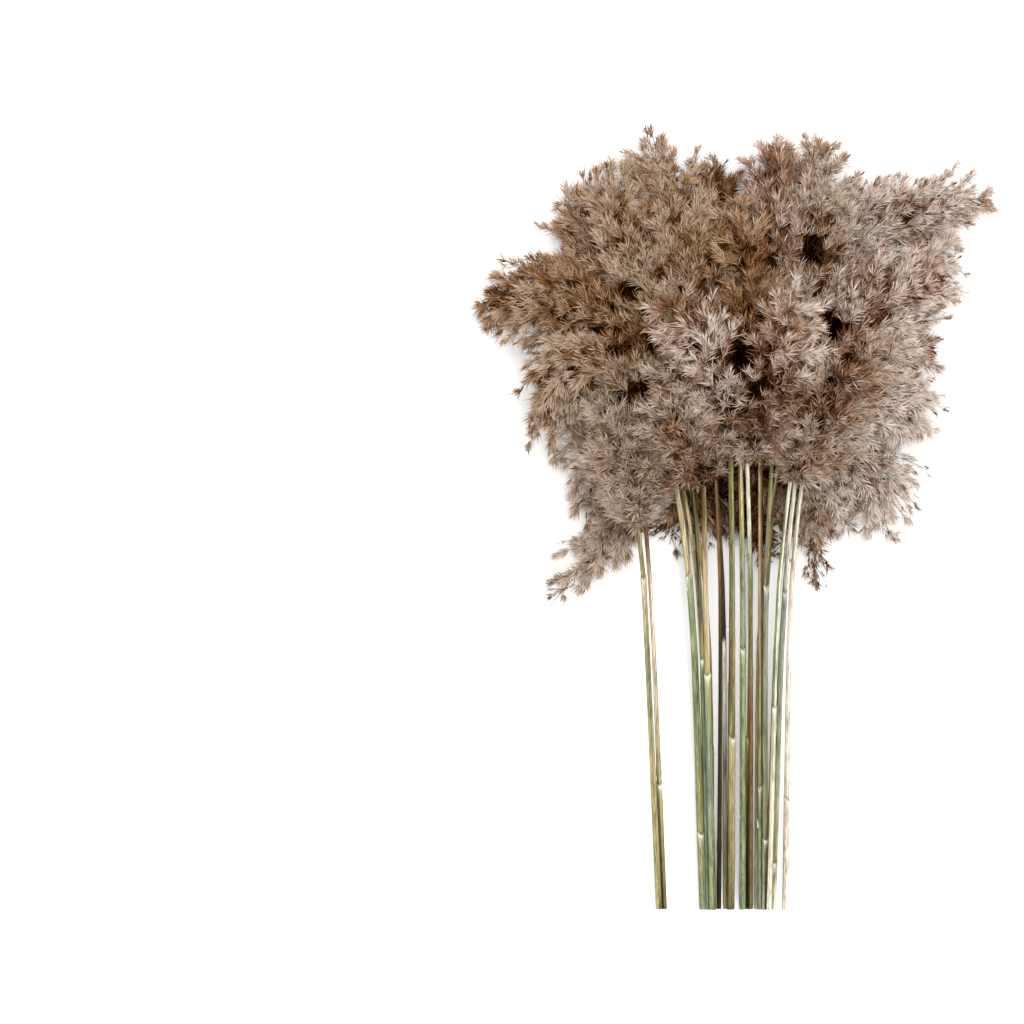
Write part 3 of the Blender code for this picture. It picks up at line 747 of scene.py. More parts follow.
@dataclass(frozen=True)
class Blade:
    """A slim pointed blade, a floret or a hair: its mean sizes in millimetres, lean and tone."""

    length: float
    width: float
    tilt: float                     # degrees off the spikelet's axis
    tone: float
    mix: float                      # how far its tone strays
    widest: float = 0.36            # share of its length where it is widest
    bend: float = 0.06              # how far it bows out, over its length
    root_rise: float = 3.5          # how far up the spikelet's axis its root may be
    lengths: Pair = (0.60, 1.15)    # how its sizes stray, over their means
    widths: Pair = (0.8, 1.2)
    tilts: Pair = (0.35, 1.45)
    bends: Pair = (0.5, 1.3)

    def grow(self, draw: np.random.Generator, turn: float) -> tuple[np.ndarray, float]:
        """Make one such blade.

        Args:
            draw: the source of random numbers.
            turn: which way it leans, in radians round the spikelet's axis.

        Returns:
            Its four corners, from root to tip, and its tone.
        """
        length = self.length * draw.uniform(*self.lengths) * MM
        width = self.width * draw.uniform(*self.widths) * MM
        tilt = math.radians(self.tilt * draw.uniform(*self.tilts))
        root = np.array([0.0, 0.0, draw.uniform(0.0, self.root_rise) * MM])
        out = np.array([math.cos(turn), math.sin(turn), 0.0])
        side = np.array([-math.sin(turn), math.cos(turn), 0.0])
        axis = out * math.sin(tilt) + np.array([0.0, 0.0, math.cos(tilt)])
        back = np.cross(side, axis)
        bow = length * self.bend * draw.uniform(*self.bends) * (1.0 if draw.uniform(0, 1) < 0.5 else -1.0)
        middle = root + axis * length * self.widest + back * bow
        corners = np.array([root, middle + side * width / 2, middle - side * width / 2,
                            root + axis * length])
        return corners, self.tone + draw.uniform(-1.0, 1.0) * self.mix


BLADE_FACES = ((0, 2, 1), (0, 1, 3), (1, 2, 3), (2, 0, 3))    # of its four corners


@dataclass(frozen=True)
class Spikelet:
    """A spikelet: a few brown florets in a tuft of long hairs."""

    florets: int
    hairs: int
    floret: Blade = Blade(length=8.5, width=0.95, tilt=14.0, tone=0.26, mix=0.10)
    hair: Blade = Blade(length=10.0, width=0.42, tilt=30.0, tone=0.68, mix=0.25)
    rounds: int = 2                 # how often the blades go round the axis
    stray: float = 0.35             # radians that a blade may be off its turn

    def build(self, name: str, seed: int) -> bpy.types.Object:
        """Make one variant of the spikelet.

        Args:
            name: the new object's name.
            seed: what its random draws start from.

        Returns:
            The object, not linked to the scene.
        """
        draw = np.random.default_rng(seed)
        places, faces, maps = [], [], []
        count = self.florets + self.hairs
        for k in range(count):
            blade = self.floret if (k * self.florets) % count < self.florets else self.hair
            turn = k / count * math.tau * self.rounds + draw.uniform(-self.stray, self.stray)
            corners, tone = blade.grow(draw, turn)
            first = len(places)
            places.extend(corners)
            shares = (0.0, blade.widest, blade.widest, 1.0)
            for face in BLADE_FACES:
                faces.append([first + corner for corner in face])
                maps.extend((tone, shares[corner]) for corner in face)
        mesh = strand_mesh(name, places, faces, maps)
        self._face_out(mesh)
        return bpy.data.objects.new(name, mesh)

    @staticmethod
    def _face_out(mesh: bpy.types.Mesh) -> None:
        """Turn round any face whose normal points into its own blade."""
        for polygon in mesh.polygons:
            blade = [mesh.vertices[4 * (min(polygon.vertices) // 4) + k].co for k in range(4)]
            middle = sum(blade, Vector()) / 4
            if (Vector(polygon.center) - middle).dot(polygon.normal) < 0:
                polygon.flip()


class SpikeletKind(Enum):
    """The kinds of spikelet: how many variants there are of each, and their form."""

    FLUFFY = (8, Spikelet(florets=0, hairs=9))
    BARE = (3, Spikelet(florets=5, hairs=4,
                        floret=Blade(length=5.5, width=0.8, tilt=14.0, tone=0.32, mix=0.10),
                        hair=Blade(length=6.0, width=0.42, tilt=26.0, tone=0.68, mix=0.25)))
    # wide brown blades that fill a plume's depth and darken it: packed hair and painted shade in one
    MATTED = (4, Spikelet(florets=0, hairs=5,
                          hair=Blade(length=12.0, width=2.8, tilt=48.0, tone=0.36, mix=0.10)))

    @staticmethod
    def shelf(seed: int) -> bpy.types.Collection:
        """Build every variant, kind by kind.

        Args:
            seed: what the random draws of the first one start from.

        Returns:
            A collection of them, not linked to the scene.
        """
        shelf = bpy.data.collections.new("spikelets")
        forms = [form for variants, form in (kind.value for kind in SpikeletKind) for _ in range(variants)]
        for k, form in enumerate(forms):
            shelf.objects.link(form.build("spikelet_%02d" % k, seed + k))
        return shelf

    def pick(self, draw: np.random.Generator, count: int) -> np.ndarray:
        """Return that many variants of this kind, by their place on the shelf."""
        before = sum(kind.value[0] for kind in list(SpikeletKind)[:list(SpikeletKind).index(self)])
        return before + draw.integers(0, self.value[0], count)


# ---------------------------------------------------------------- the tree that clothes a plume

class PlumeTree:
    """The Geometry Nodes tree that turns branch lines and spikelet seats into one mesh."""

    NAME = "clothe_plume"
    INPUTS = {"Geometry": ("Geometry", None), "Branch Sides": ("Int", 3), "Spikelet Size": ("Float", 1.0),
              "Floor": ("Float", 0.3 * MM), "Material": ("Material", None)}    # kind and value of each
    BRANCH_ROOT = 0.35         # where on the strand map the branches are, from root to tip
    TONES = (0.01, 0.99)       # the least and the palest tone

    def __init__(self, spikelets: bpy.types.Collection) -> None:
        """Build the tree with its named inputs.

        Args:
            spikelets: the variants of spikelet that it sets on the seats.
        """
        self.tree = bpy.data.node_groups.new(self.NAME, "GeometryNodeTree")
        self.sockets = {}              # the identifier of each input, by its name
        for name, (kind, value) in self.INPUTS.items():
            socket = self.tree.interface.new_socket(name, in_out="INPUT", socket_type="NodeSocket" + kind)
            if value is not None:
                socket.default_value = value
            self.sockets[name] = socket.identifier
        self.tree.interface.new_socket("Geometry", in_out="OUTPUT", socket_type="NodeSocketGeometry")
        sheet = NodeSheet(self.tree)
        inputs = sheet.add("NodeGroupInput").outputs
        real = self._clothe(sheet, inputs, spikelets)
        sheet.add("NodeGroupOutput", {0: self._finish(sheet, inputs, real)})

    def _clothe(self, sheet: NodeSheet, inputs: bpy.types.NodeOutputs,
                spikelets: bpy.types.Collection) -> bpy.types.NodeSocket:
        """Make tubes of the branch lines and set a spikelet on every seat.

        Args:
            sheet: the tree's nodes.
            inputs: the tree's inputs, whose geometry holds the lines and the seats.
            spikelets: the variants of spikelet.

        Returns:
            Both as one realized mesh.
        """
        parts = sheet.add("GeometryNodeSeparateGeometry",
                          {"Geometry": inputs["Geometry"],
                           "Selection": sheet.attribute("seat", "BOOLEAN")}).outputs
        curves = sheet.add("GeometryNodeMeshToCurve", {"Mesh": parts["Inverted"]}).outputs[0]
        ring = sheet.add("GeometryNodeCurvePrimitiveCircle",
                         {"Resolution": inputs["Branch Sides"], "Radius": 1.0}).outputs[0]
        tubes = sheet.add("GeometryNodeCurveToMesh",
                          {"Curve": curves, "Profile Curve": ring, "Fill Caps": True,
                           "Scale": sheet.attribute("thick")}).outputs[0]
        tubes = sheet.store_map(tubes, (0.0, self.BRANCH_ROOT, 0.0))
        points = sheet.add("GeometryNodeMeshToPoints", {"Mesh": parts["Selection"]}).outputs[0]
        variants = sheet.add("GeometryNodeCollectionInfo",
                             {"Collection": spikelets, "Separate Children": True,
                              "Reset Children": True}).outputs[0]
        spin = sheet.add("FunctionNodeAxisAngleToRotation",
                         {"Axis": (0.0, 0.0, 1.0), "Angle": sheet.attribute("turn")}).outputs[0]
        aimed = sheet.add("FunctionNodeAlignRotationToVector",
                          {"Rotation": spin, "Vector": sheet.attribute("aim", "FLOAT_VECTOR")},
                          axis="Z").outputs[0]
        size = sheet.math("MULTIPLY", sheet.attribute("size"), inputs["Spikelet Size"])
        tufts = sheet.add("GeometryNodeInstanceOnPoints",
                          {"Points": points, "Instance": variants, "Pick Instance": True,
                           "Instance Index": sheet.attribute("kind", "INT"),
                           "Rotation": aimed, "Scale": size}).outputs[0]
        joined = sheet.add("GeometryNodeJoinGeometry", {0: tubes})
        sheet.feed(joined, {0: tufts})
        return sheet.add("GeometryNodeRealizeInstances", {"Geometry": joined.outputs[0]}).outputs[0]

    def _finish(self, sheet: NodeSheet, inputs: bpy.types.NodeOutputs,
                real: bpy.types.NodeSocket) -> bpy.types.NodeSocket:
        """Shift the tones by what each seat asks, lift what is lower than the floor, and dress it.

        Args:
            sheet: the tree's nodes.
            inputs: the tree's inputs.
            real: the realized mesh.

        Returns:
            The mesh in its material.
        """
        own = sheet.axes(sheet.attribute(STRAND_MAP, "FLOAT_VECTOR"))
        least, palest = self.TONES
        tone = sheet.math("ADD", own[0], sheet.attribute("tone"))
        tone = sheet.math("MAXIMUM", sheet.math("MINIMUM", tone, palest), least)
        place = sheet.add("ShaderNodeCombineXYZ", {0: tone, 1: own[1]}).outputs[0]
        mapped = sheet.store_map(real, place)
        where = sheet.axes(sheet.add("GeometryNodeInputPosition").outputs[0])
        height = sheet.math("MAXIMUM", where[2], inputs["Floor"])
        lifted = sheet.add("ShaderNodeCombineXYZ", {0: where[0], 1: where[1], 2: height}).outputs[0]
        laid = sheet.add("GeometryNodeSetPosition", {"Geometry": mapped, "Position": lifted}).outputs[0]
        return sheet.add("GeometryNodeSetMaterial",
                         {"Geometry": laid, "Material": inputs["Material"]}).outputs[0]

    def run(self, base: bpy.types.Object, name: str, material: bpy.types.Material) -> bpy.types.Object:
        """Run the tree on an object and make its result a plain mesh.

        Args:
            base: the object that holds the branch lines and the seats.
            name: the name of the new piece.
            material: what the new piece is dressed in.

        Returns:
            The new piece; the base is removed.
        """
        modifier = base.modifiers.new("clothe", "NODES")
        modifier.node_group = self.tree
        modifier[self.sockets["Material"]] = material
        evaluated = base.evaluated_get(bpy.context.evaluated_depsgraph_get())
        mesh = bpy.data.meshes.new_from_object(evaluated)
        base.modifiers.remove(modifier)
        bpy.data.objects.remove(base, do_unlink=True)
        mesh.name = name
        return put(name, mesh)


# ---------------------------------------------------------------- plumes

class Crowd:
    """All the plumes' solids: their surfaces, and how open to the light a place among them is."""

    WAYS = ((0.0, 0.0, 1.0), (0.7, 0.0, 0.7), (-0.7, 0.0, 0.7), (0.0, 0.7, 0.7), (0.0, -0.7, 0.7),
            (1.0, 0.0, 0.15), (-1.0, 0.0, 0.15), (0.0, 1.0, 0.15), (0.0, -1.0, 0.15))
    NEAR = 0.12                # how far away a neighbour still shades
    OFF_SKIN = 1.5 * MM        # how far above a solid's surface its light is read
    TRIES = 6                  # places to choose from, for each one that is picked
    LEVEL = 1.1                # how likely a face that looks aside is, and what looking up adds
    UPWARD = 0.9
    LIKELY = (0.3, 1.1)        # the least and the most that these come to
    DARK = 0.8                 # how much a place in the dark counts; one in the light counts 1 more
    APART = 0.9                # least distance of two picked places, over an even one
    CLOSER = 0.8               # what that distance shrinks by where too few places fit

    def __init__(self, names: list[str]) -> None:
        """Read each solid's triangles and build a search tree of them.

        Args:
            names: the plumes' names.
        """
        self.triangles = {}
        self.trees = {}
        for name in names:
            mesh = frame["nodes"]["plume_" + name].data
            corners = [v.co for v in mesh.vertices]
            faces = [tuple(p.vertices) for p in mesh.polygons]
            self.triangles[name] = np.array([[corners[k] for k in face] for face in faces])
            self.trees[name] = BVHTree.FromPolygons(corners, faces)
        self.ways = [Vector(way).normalized() for way in self.WAYS]

    def area(self, name: str) -> float:
        """Return the surface of a plume's solid in square metres."""
        first, second, third = (self.triangles[name][:, k] for k in range(3))
        return float(np.linalg.norm(np.cross(second - first, third - first), axis=1).sum() / 2)

    def openness(self, name: str, places: np.ndarray) -> np.ndarray:
        """Tell how open each place is.

        Args:
            name: the plume that the places belong to, which doesn't count itself.
            places: the places, one row each.

        Returns:
            For each place, the share of ways on which no neighbour stands.
        """
        others = [tree for other, tree in self.trees.items() if other != name]
        open_ways = [sum(not any(tree.ray_cast(spot, way, self.NEAR)[0] for tree in others)
                         for way in self.ways) for spot in map(Vector, places)]
        return np.array(open_ways) / len(self.ways)

    def skin(self, name: str, count: int, draw: np.random.Generator) -> np.ndarray:
        """Pick places all over a solid, even in distance and most where they can be seen.

        Args:
            name: the plume whose solid it is.
            count: how many places to pick.
            draw: the source of random numbers.

        Returns:
            The places, one row each.
        """
        first, second, third = (self.triangles[name][:, k] for k in range(3))
        cross = np.cross(second - first, third - first)
        area = np.linalg.norm(cross, axis=1) / 2
        looks = unit(cross)
        tries = self.TRIES * count
        chance = area * np.clip(self.LEVEL + self.UPWARD * looks[:, 2], *self.LIKELY)
        picked = draw.choice(len(area), size=tries, p=chance / chance.sum())
        a, b = np.sqrt(draw.uniform(0, 1, tries))[:, None], draw.uniform(0, 1, tries)[:, None]
        places = first[picked] * (1 - a) + second[picked] * a * (1 - b) + third[picked] * a * b
        light = self.openness(name, places + looks[picked] * self.OFF_SKIN)
        order = np.argsort(-(self.DARK + light) / draw.exponential(1.0, len(places)))
        room = self.APART * math.sqrt(area.sum() / count)
        chosen: list[int] = []
        while len(chosen) < count:
            for k in order:
                if len(chosen) == count:
                    break
                if k not in chosen and (not chosen or np.linalg.norm(
                        places[chosen] - places[k], axis=1).min() > room):
                    chosen.append(k)
            room *= self.CLOSER
        return places[chosen]

    def gap(self, name: str, places: np.ndarray, ways: np.ndarray, limit: float) -> np.ndarray:
        """Measure the way from a plume to the others.

        Args:
            name: the plume that the places belong to.
            places: the places, one row each.
            ways: the direction to look in from each place.
            limit: how far to look.

        Returns:
            How far it is from each place to the nearest other plume, or the limit.
        """
        gaps = np.full(len(places), limit)
        others = [tree for other, tree in self.trees.items() if other != name]
        for k, (place, way) in enumerate(zip(places, ways)):
            for tree in others:
                hit = tree.ray_cast(Vector(place), Vector(way), gaps[k])
                if hit[0] is not None:
                    gaps[k] = hit[3]
        return gaps


class LightField:
    """How much light comes down to each place among the spikelets, kept in a grid of small cubes."""

    CELL = 2.8 * MM
    MARGIN = 4                 # empty cubes round the spikelets
    SOFTEN = (1, 2, 4, 6)      # strides, in cubes, of the blur that gives the light round about
    THICKNESS = 0.42           # how much of the light one spikelet in a cube holds back
    STEPS = ((0, 0, 3.0), (1, 0, 1.0), (-1, 0, 1.0), (0, 1, 1.0), (0, -1, 1.0),
             (1, 1, 0.6), (-1, -1, 0.6), (1, -1, 0.6), (-1, 1, 0.6))    # ways down, and their weights

    def __init__(self, places: np.ndarray) -> None:
        """Count the spikelets in each cube and follow the light down through them.

        Args:
            places: where the spikelets are, one row each.
        """
        self.low = places.min(axis=0) - self.MARGIN * self.CELL
        size = np.ceil((places.max(axis=0) - self.low) / self.CELL).astype(int) + self.MARGIN
        crowd = np.zeros(size)
        np.add.at(crowd, tuple(self._cells(places).T), 1.0)
        for axis in range(3):
            crowd = 0.5 * crowd + 0.25 * (np.roll(crowd, 1, axis) + np.roll(crowd, -1, axis))
        self.light = np.zeros(size)
        for across, along, weight in self.STEPS:
            above = np.zeros(size[:2])
            for layer in range(size[2] - 1, -1, -1):
                self.light[:, :, layer] += weight * np.exp(-self.THICKNESS * above)
                above = np.roll(above + crowd[:, :, layer], (across, along), (0, 1))
        self.light /= sum(step[2] for step in self.STEPS)
        self.round_about = self._soften(self.light * crowd) / np.maximum(self._soften(crowd), 1e-6)

    def at(self, places: np.ndarray, draw: np.random.Generator) -> tuple[np.ndarray, np.ndarray]:
        """Read the light at each place, a little beside it so that no cube shows.

        Args:
            places: the places, one row each.
            draw: the source of random numbers.

        Returns:
            The light at each place, 0 to 1, and how much brighter it is there than round about.
        """
        beside = places + draw.uniform(-0.5, 0.5, places.shape) * self.CELL
        cells = tuple(self._cells(beside).T)
        return self.light[cells], self.light[cells] - self.round_about[cells]

    def _soften(self, values: np.ndarray) -> np.ndarray:
        """Return the values blurred along every axis."""
        for stride in self.SOFTEN:
            for axis in range(3):
                values = (values + np.roll(values, stride, axis) + np.roll(values, -stride, axis)) / 3.0
        return values

    def _cells(self, places: np.ndarray) -> np.ndarray:
        """Return which cube each place is in."""
        return ((places - self.low) / self.CELL).astype(int)


@dataclass(frozen=True)
class Layout:
    """The branches of a plume and every seat that a spikelet may take on them."""

    lines: np.ndarray        # the branches' points
    owner: np.ndarray        # the branch of each seat
    share: np.ndarray        # how far out along its branch each seat is
    inner: np.ndarray        # whether a seat is one of those near the stalk
    tail: np.ndarray         # whether a seat is in the plume's thin tail
    places: np.ndarray
    aims: np.ndarray


@dataclass(frozen=True)
class ToneMix:
    """What shifts a spikelet's tone towards the pale end, and how far each of these does; the light among the
    spikelets, full shade, the lobes and the gaps where plumes part paint light and shade into the tone.
    """

    patch: float = 0.12             # wide and narrow clouds of noise
    wide_waves: float = 14.0        # of these clouds, to a metre
    narrow_waves: float = 45.0
    narrow_shift: Triple = (9.0, 4.0, 2.0)
    narrow: float = 0.6             # how strong the narrow ones are, over the wide ones
    branch: float = 0.05            # chance, branch by branch
    beside: float = 0.65            # painted light and shade: how much brighter it is there than round about
    # painted light and shade: paler where more light comes down among the spikelets, darker where less does
    light: float = 0.15
    mean_light: float = 0.72
    # painted light on the lobes and painted shade in the valleys between them
    lobe: float = 0.24
    part: float = -0.9              # painted shade where the plumes part
    share: float = 0.30             # how far out along the branch: paler tips are partly the hairs' own colour, partly painted shade further in
    mean_share: float = 0.88
    shade: float = -0.25            # painted shade in full shade
    shade_below: float = 0.25       # light under which it is shade
    stray: float = 0.04             # chance, spikelet by spikelet
    stalk: float = 0.34             # the tone of stalk and branches
    stalk_part_shade: float = -0.6        # and its painted shade where the plumes part

    def tones(self, layout: Layout, light: np.ndarray, beside: np.ndarray, cast: float,
              draw: np.random.Generator) -> np.ndarray:
        """Work out how far each seat's tone is shifted.

        Args:
            layout: the plume's branches and seats.
            light: how much light each seat gets, 0 to 1.
            beside: how much brighter it is there than round about.
            cast: the plume's own shift.
            draw: the source of random numbers.

        Returns:
            The shifts, one for each seat.
        """
        patch = cloud(layout.places, self.wide_waves)
        patch += self.narrow * cloud(layout.places, self.narrow_waves, self.narrow_shift)
        branch = draw.normal(0.0, self.branch, len(layout.lines))[layout.owner]
        tone = cast + self.patch * patch + branch + self.beside * beside
        tone += self.light * (light - self.mean_light) + self.share * (layout.share - self.mean_share)
        tone += self.lobe * lobes(layout.places) + self.part * parted(layout.places)
        tone += self.shade * np.clip(self.shade_below - light, 0.0, self.shade_below) / self.shade_below
        return tone + draw.normal(0.0, self.stray, len(light))


@dataclass
class Plume:
    """One plume: a stalk, branches that sweep out to its skin, and the spikelets on them.

    Lengths are in millimetres.
    """

    plan: PlumePlan
    seed: int
    mix: ToneMix = ToneMix()
    spine_points: int = 81
    branch_area: float = 240.0      # square millimetres of the solid's surface to each branch
    branch_points: int = 6
    branch_thick: float = 0.36
    branch_taper: float = 0.8       # how thick a branch still is at its end
    stalk_thick: Pair = (1.1, 0.25)
    stalk_points: int = 24
    lean: float = 2.0               # how far a branch's way out leans towards the tip
    clear: float = 0.5              # how far off the skin the look for a neighbour begins
    inset: Pair = (-5.0, 4.0)       # from the end of a branch in to the plume's skin, least and most
    inset_most: float = 0.5         # most of a branch's way out that this may take
    lobe: float = 6.5               # how far the plume's lobes stand out, and its valleys in
    bridge: float = 8.0             # most of the gap to the next plume that a branch crosses
    mingle_limit: float = 22.0      # gap to the next plume past which it doesn't
    sweeps: Pair = (0.7, 1.2)       # how its branches' sweep strays
    last_start: float = 0.97        # share of the stalk past which no branch leaves it
    turn_out: float = 1.15          # above 1, a branch runs up the stalk first and then turns out
    swing: float = 3.5              # how far a branch swings aside, and in how many half waves
    swing_waves: float = 1.6
    sinks: Pair = (0.0, 0.6)        # how the sinking of its branches' ends strays
    floor: Pair = (0.6, 0.8)        # least height of a branch and of a seat
    crown: float = 111.0            # height from which branches are pressed down
    crown_room: float = 9.0         # how far they still rise above it
    seat_gap: float = 1.3           # clothed branch to each seat that a spikelet may take
    seat_room: float = 8.0          # length that every branch counts for on top of its clothed one
    tuft_length: float = 34.0       # the part of a branch that is clothed, back from its end
    tuft_share: float = 0.85        # most of a branch that is clothed
    tuft_ease: float = 0.85         # under 1, seats crowd towards the end of a branch
    tuft_radius: float = 2.2        # how far spikelets sit off their branch
    tuft_core: float = 0.2          # the least of this that they do
    tuft_end: float = 0.35          # how full a tuft is at its end, over its radius
    tuft_belly: float = 3.0         # and how much fuller towards its middle
    tuft_back: float = 1.1          # where it would be as slim again, over its length
    tuft_limits: Pair = (0.3, 1.1)
    inner_seats: float = 0.14       # share of the seats that stand further in along the branches
    inner_from: float = 24.0        # how far back from the end these begin
    inner_bare: float = 2.0         # length that they leave free at the stalk
    inner_least: float = 12.0       # room that a branch must have for them
    spread: float = 0.15            # how far spikelets stray from their aim
    lift: float = 0.38              # how far they lean away from their branch
    lift_end: float = 0.25          # the part of this at the end of a branch
    lift_rise: float = 2.4          # how fast it grows back from there, over the tuft's length
    bare_end: float = 0.93          # share past which spikelets may have lost their hairs
    bare_light: float = 0.62        # light over which they may
    bare_share: float = 0.8         # how many of them have
    bare_tone: float = -0.02
    shade_fill_below: float = 0.34      # light under which seats get the wide brown blades of painted shade that fill the depth
    sizes: Pair = (0.82, 1.18)
    least_chance: float = 0.12      # how likely a seat in the dark is taken
    full_light: float = 0.5         # light from which a seat is as likely as can be
    inner_chance: float = 1.5       # how much likelier a seat further in is
    tail_chance: float = 0.35       # how likely a seat in the tail is, over another one
    part_edge: float = 0.14         # where a gap between plumes begins, 1 at its middle
    part_light: float = 0.12        # light over which a gap stays free
    part_height: float = 38.0       # height over which it does
    part_chance: float = 1e-9       # how likely a seat in it still is

    def __post_init__(self) -> None:
        """Start the plume's own row of random numbers and work out its spine."""
        self.draw = np.random.default_rng(self.seed)
        self.spine = Spine(smooth_path(self.plan.spine, self.spine_points))

    def lay(self, crowd: Crowd) -> Layout:
        """Lay out the plume's branches and its seats among the solids of all the plumes."""
        return self._seats(self._branches(crowd))

    def chance(self, layout: Layout, light: np.ndarray) -> np.ndarray:
        """Work out how likely each seat is to be taken: most in the light, none where plumes part.

        Args:
            layout: the plume's branches and seats.
            light: how much light each seat gets, 0 to 1.

        Returns:
            The chances, one over another.
        """
        chance = self.least_chance + np.minimum(light, self.full_light)
        chance = chance * np.where(layout.inner, self.inner_chance, 1.0)
        chance *= np.where(layout.tail, self.tail_chance, 1.0)
        free = ((parted(layout.places) > self.part_edge) & (light > self.part_light)
                & (layout.places[:, 2] > self.part_height * MM))
        return np.where(free, self.part_chance, chance)

    def build(self, layout: Layout, light: np.ndarray, beside: np.ndarray, spikelets: int,
              tree: PlumeTree) -> bpy.types.Object:
        """Make the plume's mesh.

        Args:
            layout: its branches and seats.
            light: how much light each seat gets, 0 to 1.
            beside: how much brighter it is there than round about.
            spikelets: how many of the seats are taken.
            tree: the Geometry Nodes tree that clothes the branches.

        Returns:
            The piece, in its finish.
        """
        seats = self._choose(layout, light, beside, spikelets)
        tone = self.plan.tone
        return tree.run(self._base(layout.lines, seats), "reed_plume_" + self.plan.name,
                        PLUME_FINISHES[tone].material(tone.value + "_strands"))

    def _ends(self, crowd: Crowd) -> tuple[np.ndarray, np.ndarray, np.ndarray, np.ndarray]:
        """Find the ends of the branches on the plume's skin, or in among its neighbours.

        Args:
            crowd: the solids of all the plumes.

        Returns:
            For each branch the share of the spine that its end is beside, how far the skin is from
            there, the way from there to its end, and the direction in which it stands off the spine.
        """
        draw, spine, plan = self.draw, self.spine, self.plan
        count = round(plan.dense * crowd.area(plan.name) / (self.branch_area * MM * MM))
        fill = np.array(plan.fill, dtype=float).reshape(-1, 3) * MM
        skin = np.vstack([crowd.skin(plan.name, count, draw), fill])
        count = len(skin)
        end = spine.nearest(skin)
        foot = spine.at(end)
        off = skin - foot
        far = np.linalg.norm(off, axis=1)
        out = unit(off + spine.ahead(end) * self.lean * MM)
        gap = crowd.gap(plan.name, skin + out * self.clear * MM, out, self.mingle_limit * MM)
        inward = np.minimum(draw.uniform(*self.inset, count) * MM, self.inset_most * far)
        inward -= self.lobe * MM * lobes(skin)
        among = np.minimum(gap, self.bridge * MM) + plan.mingle * MM * draw.uniform(0.0, 1.0, count)
        reach = np.where(gap < self.mingle_limit * MM, among, -inward)
        reach[count - len(fill):] = 0.0
        return end, far, skin + out * reach[:, None] - foot, out

    def _branches(self, crowd: Crowd) -> np.ndarray:
        """Sweep the branches from the stalk to their ends.

        Args:
            crowd: the solids of all the plumes.

        Returns:
            The points of each branch.
        """
        draw, spine = self.draw, self.spine
        end, far, way, out = self._ends(crowd)
        count = len(end)
        back = self.plan.sweep * far / spine.length * draw.uniform(*self.sweeps, count)
        start = np.clip(end - back, 0.0, self.last_start)
        share = np.linspace(0.0, 1.0, self.branch_points)[None, :]
        along = start[:, None] + (np.maximum(end, start) - start)[:, None] * share
        swing = np.cross(spine.ahead(end), out) * draw.normal(0.0, self.swing, count)[:, None] * MM
        lines = (spine.at(along) + way[:, None, :] * (share ** self.turn_out)[:, :, None]
                 + swing[:, None, :] * np.sin(self.swing_waves * math.pi * share)[:, :, None])
        lines[:, :, 1] -= self.plan.droop * MM * share ** 2 * draw.uniform(*self.sinks, count)[:, None]
        lines[:, :, 2] = np.maximum(lines[:, :, 2], self.floor[0] * MM)
        over = np.maximum(lines[:, :, 2] - self.crown * MM, 0.0) / (self.crown_room * MM)
        lines[:, :, 2] -= self.crown_room * MM * (over - 1.0 + np.exp(-over))
        return lines

    def _seats(self, lines: np.ndarray) -> Layout:
        """Set seats all round the outer ends of the branches, and some further in.

        Args:
            lines: the points of each branch.

        Returns:
            The branches with their seats.
        """
        draw, tuft = self.draw, self.tuft_length * MM
        lengths = np.linalg.norm(np.diff(lines, axis=1), axis=2).sum(axis=1)
        clothed = np.minimum(tuft, self.tuft_share * lengths)
        count = int(clothed.sum() / (self.seat_gap * MM))
        weight = clothed + self.seat_room * MM
        owner = np.sort(draw.choice(len(lines), size=count, p=weight / weight.sum()))
        back = clothed[owner] / lengths[owner] * (1.0 - draw.uniform(0.0, 1.0, count) ** self.tuft_ease)
        room = lengths[owner] - (self.inner_from + self.inner_bare) * MM
        inner = (draw.uniform(0.0, 1.0, count) < self.inner_seats) & (room > self.inner_least * MM)
        further = (self.inner_from * MM + room * draw.uniform(0.0, 1.0, count)) / lengths[owner]
        back = np.where(inner, further, back)
        share = 1.0 - back
        step = share * (self.branch_points - 1)
        low = np.minimum(step.astype(int), self.branch_points - 2)
        part = (step - low)[:, None]
        first, second = lines[owner, low], lines[owner, low + 1]
        tangent = unit(second - first)
        radial = unit(np.cross(tangent, draw.normal(0.0, 1.0, (count, 3))))
        depth = np.minimum(1.0, back * lengths[owner] / tuft)
        swell = self.tuft_end + self.tuft_belly * depth * (self.tuft_back - depth)
        swell = np.clip(swell, *self.tuft_limits)
        loose = self.tuft_radius * MM * swell * draw.uniform(self.tuft_core, 1.0, count)
        places = first * (1 - part) + second * part + radial * loose[:, None]
        places[:, 2] = np.maximum(places[:, 2], self.floor[1] * MM)
        lean = self.lift * np.clip(self.lift_rise * depth, self.lift_end, 1.0)
        aims = unit(tangent + radial * lean[:, None] + draw.normal(0.0, self.spread, (count, 3)))
        tail = (self.spine.nearest(lines[:, -1]) > self.plan.tail)[owner]
        return Layout(lines, owner, share, inner, tail, places, aims)

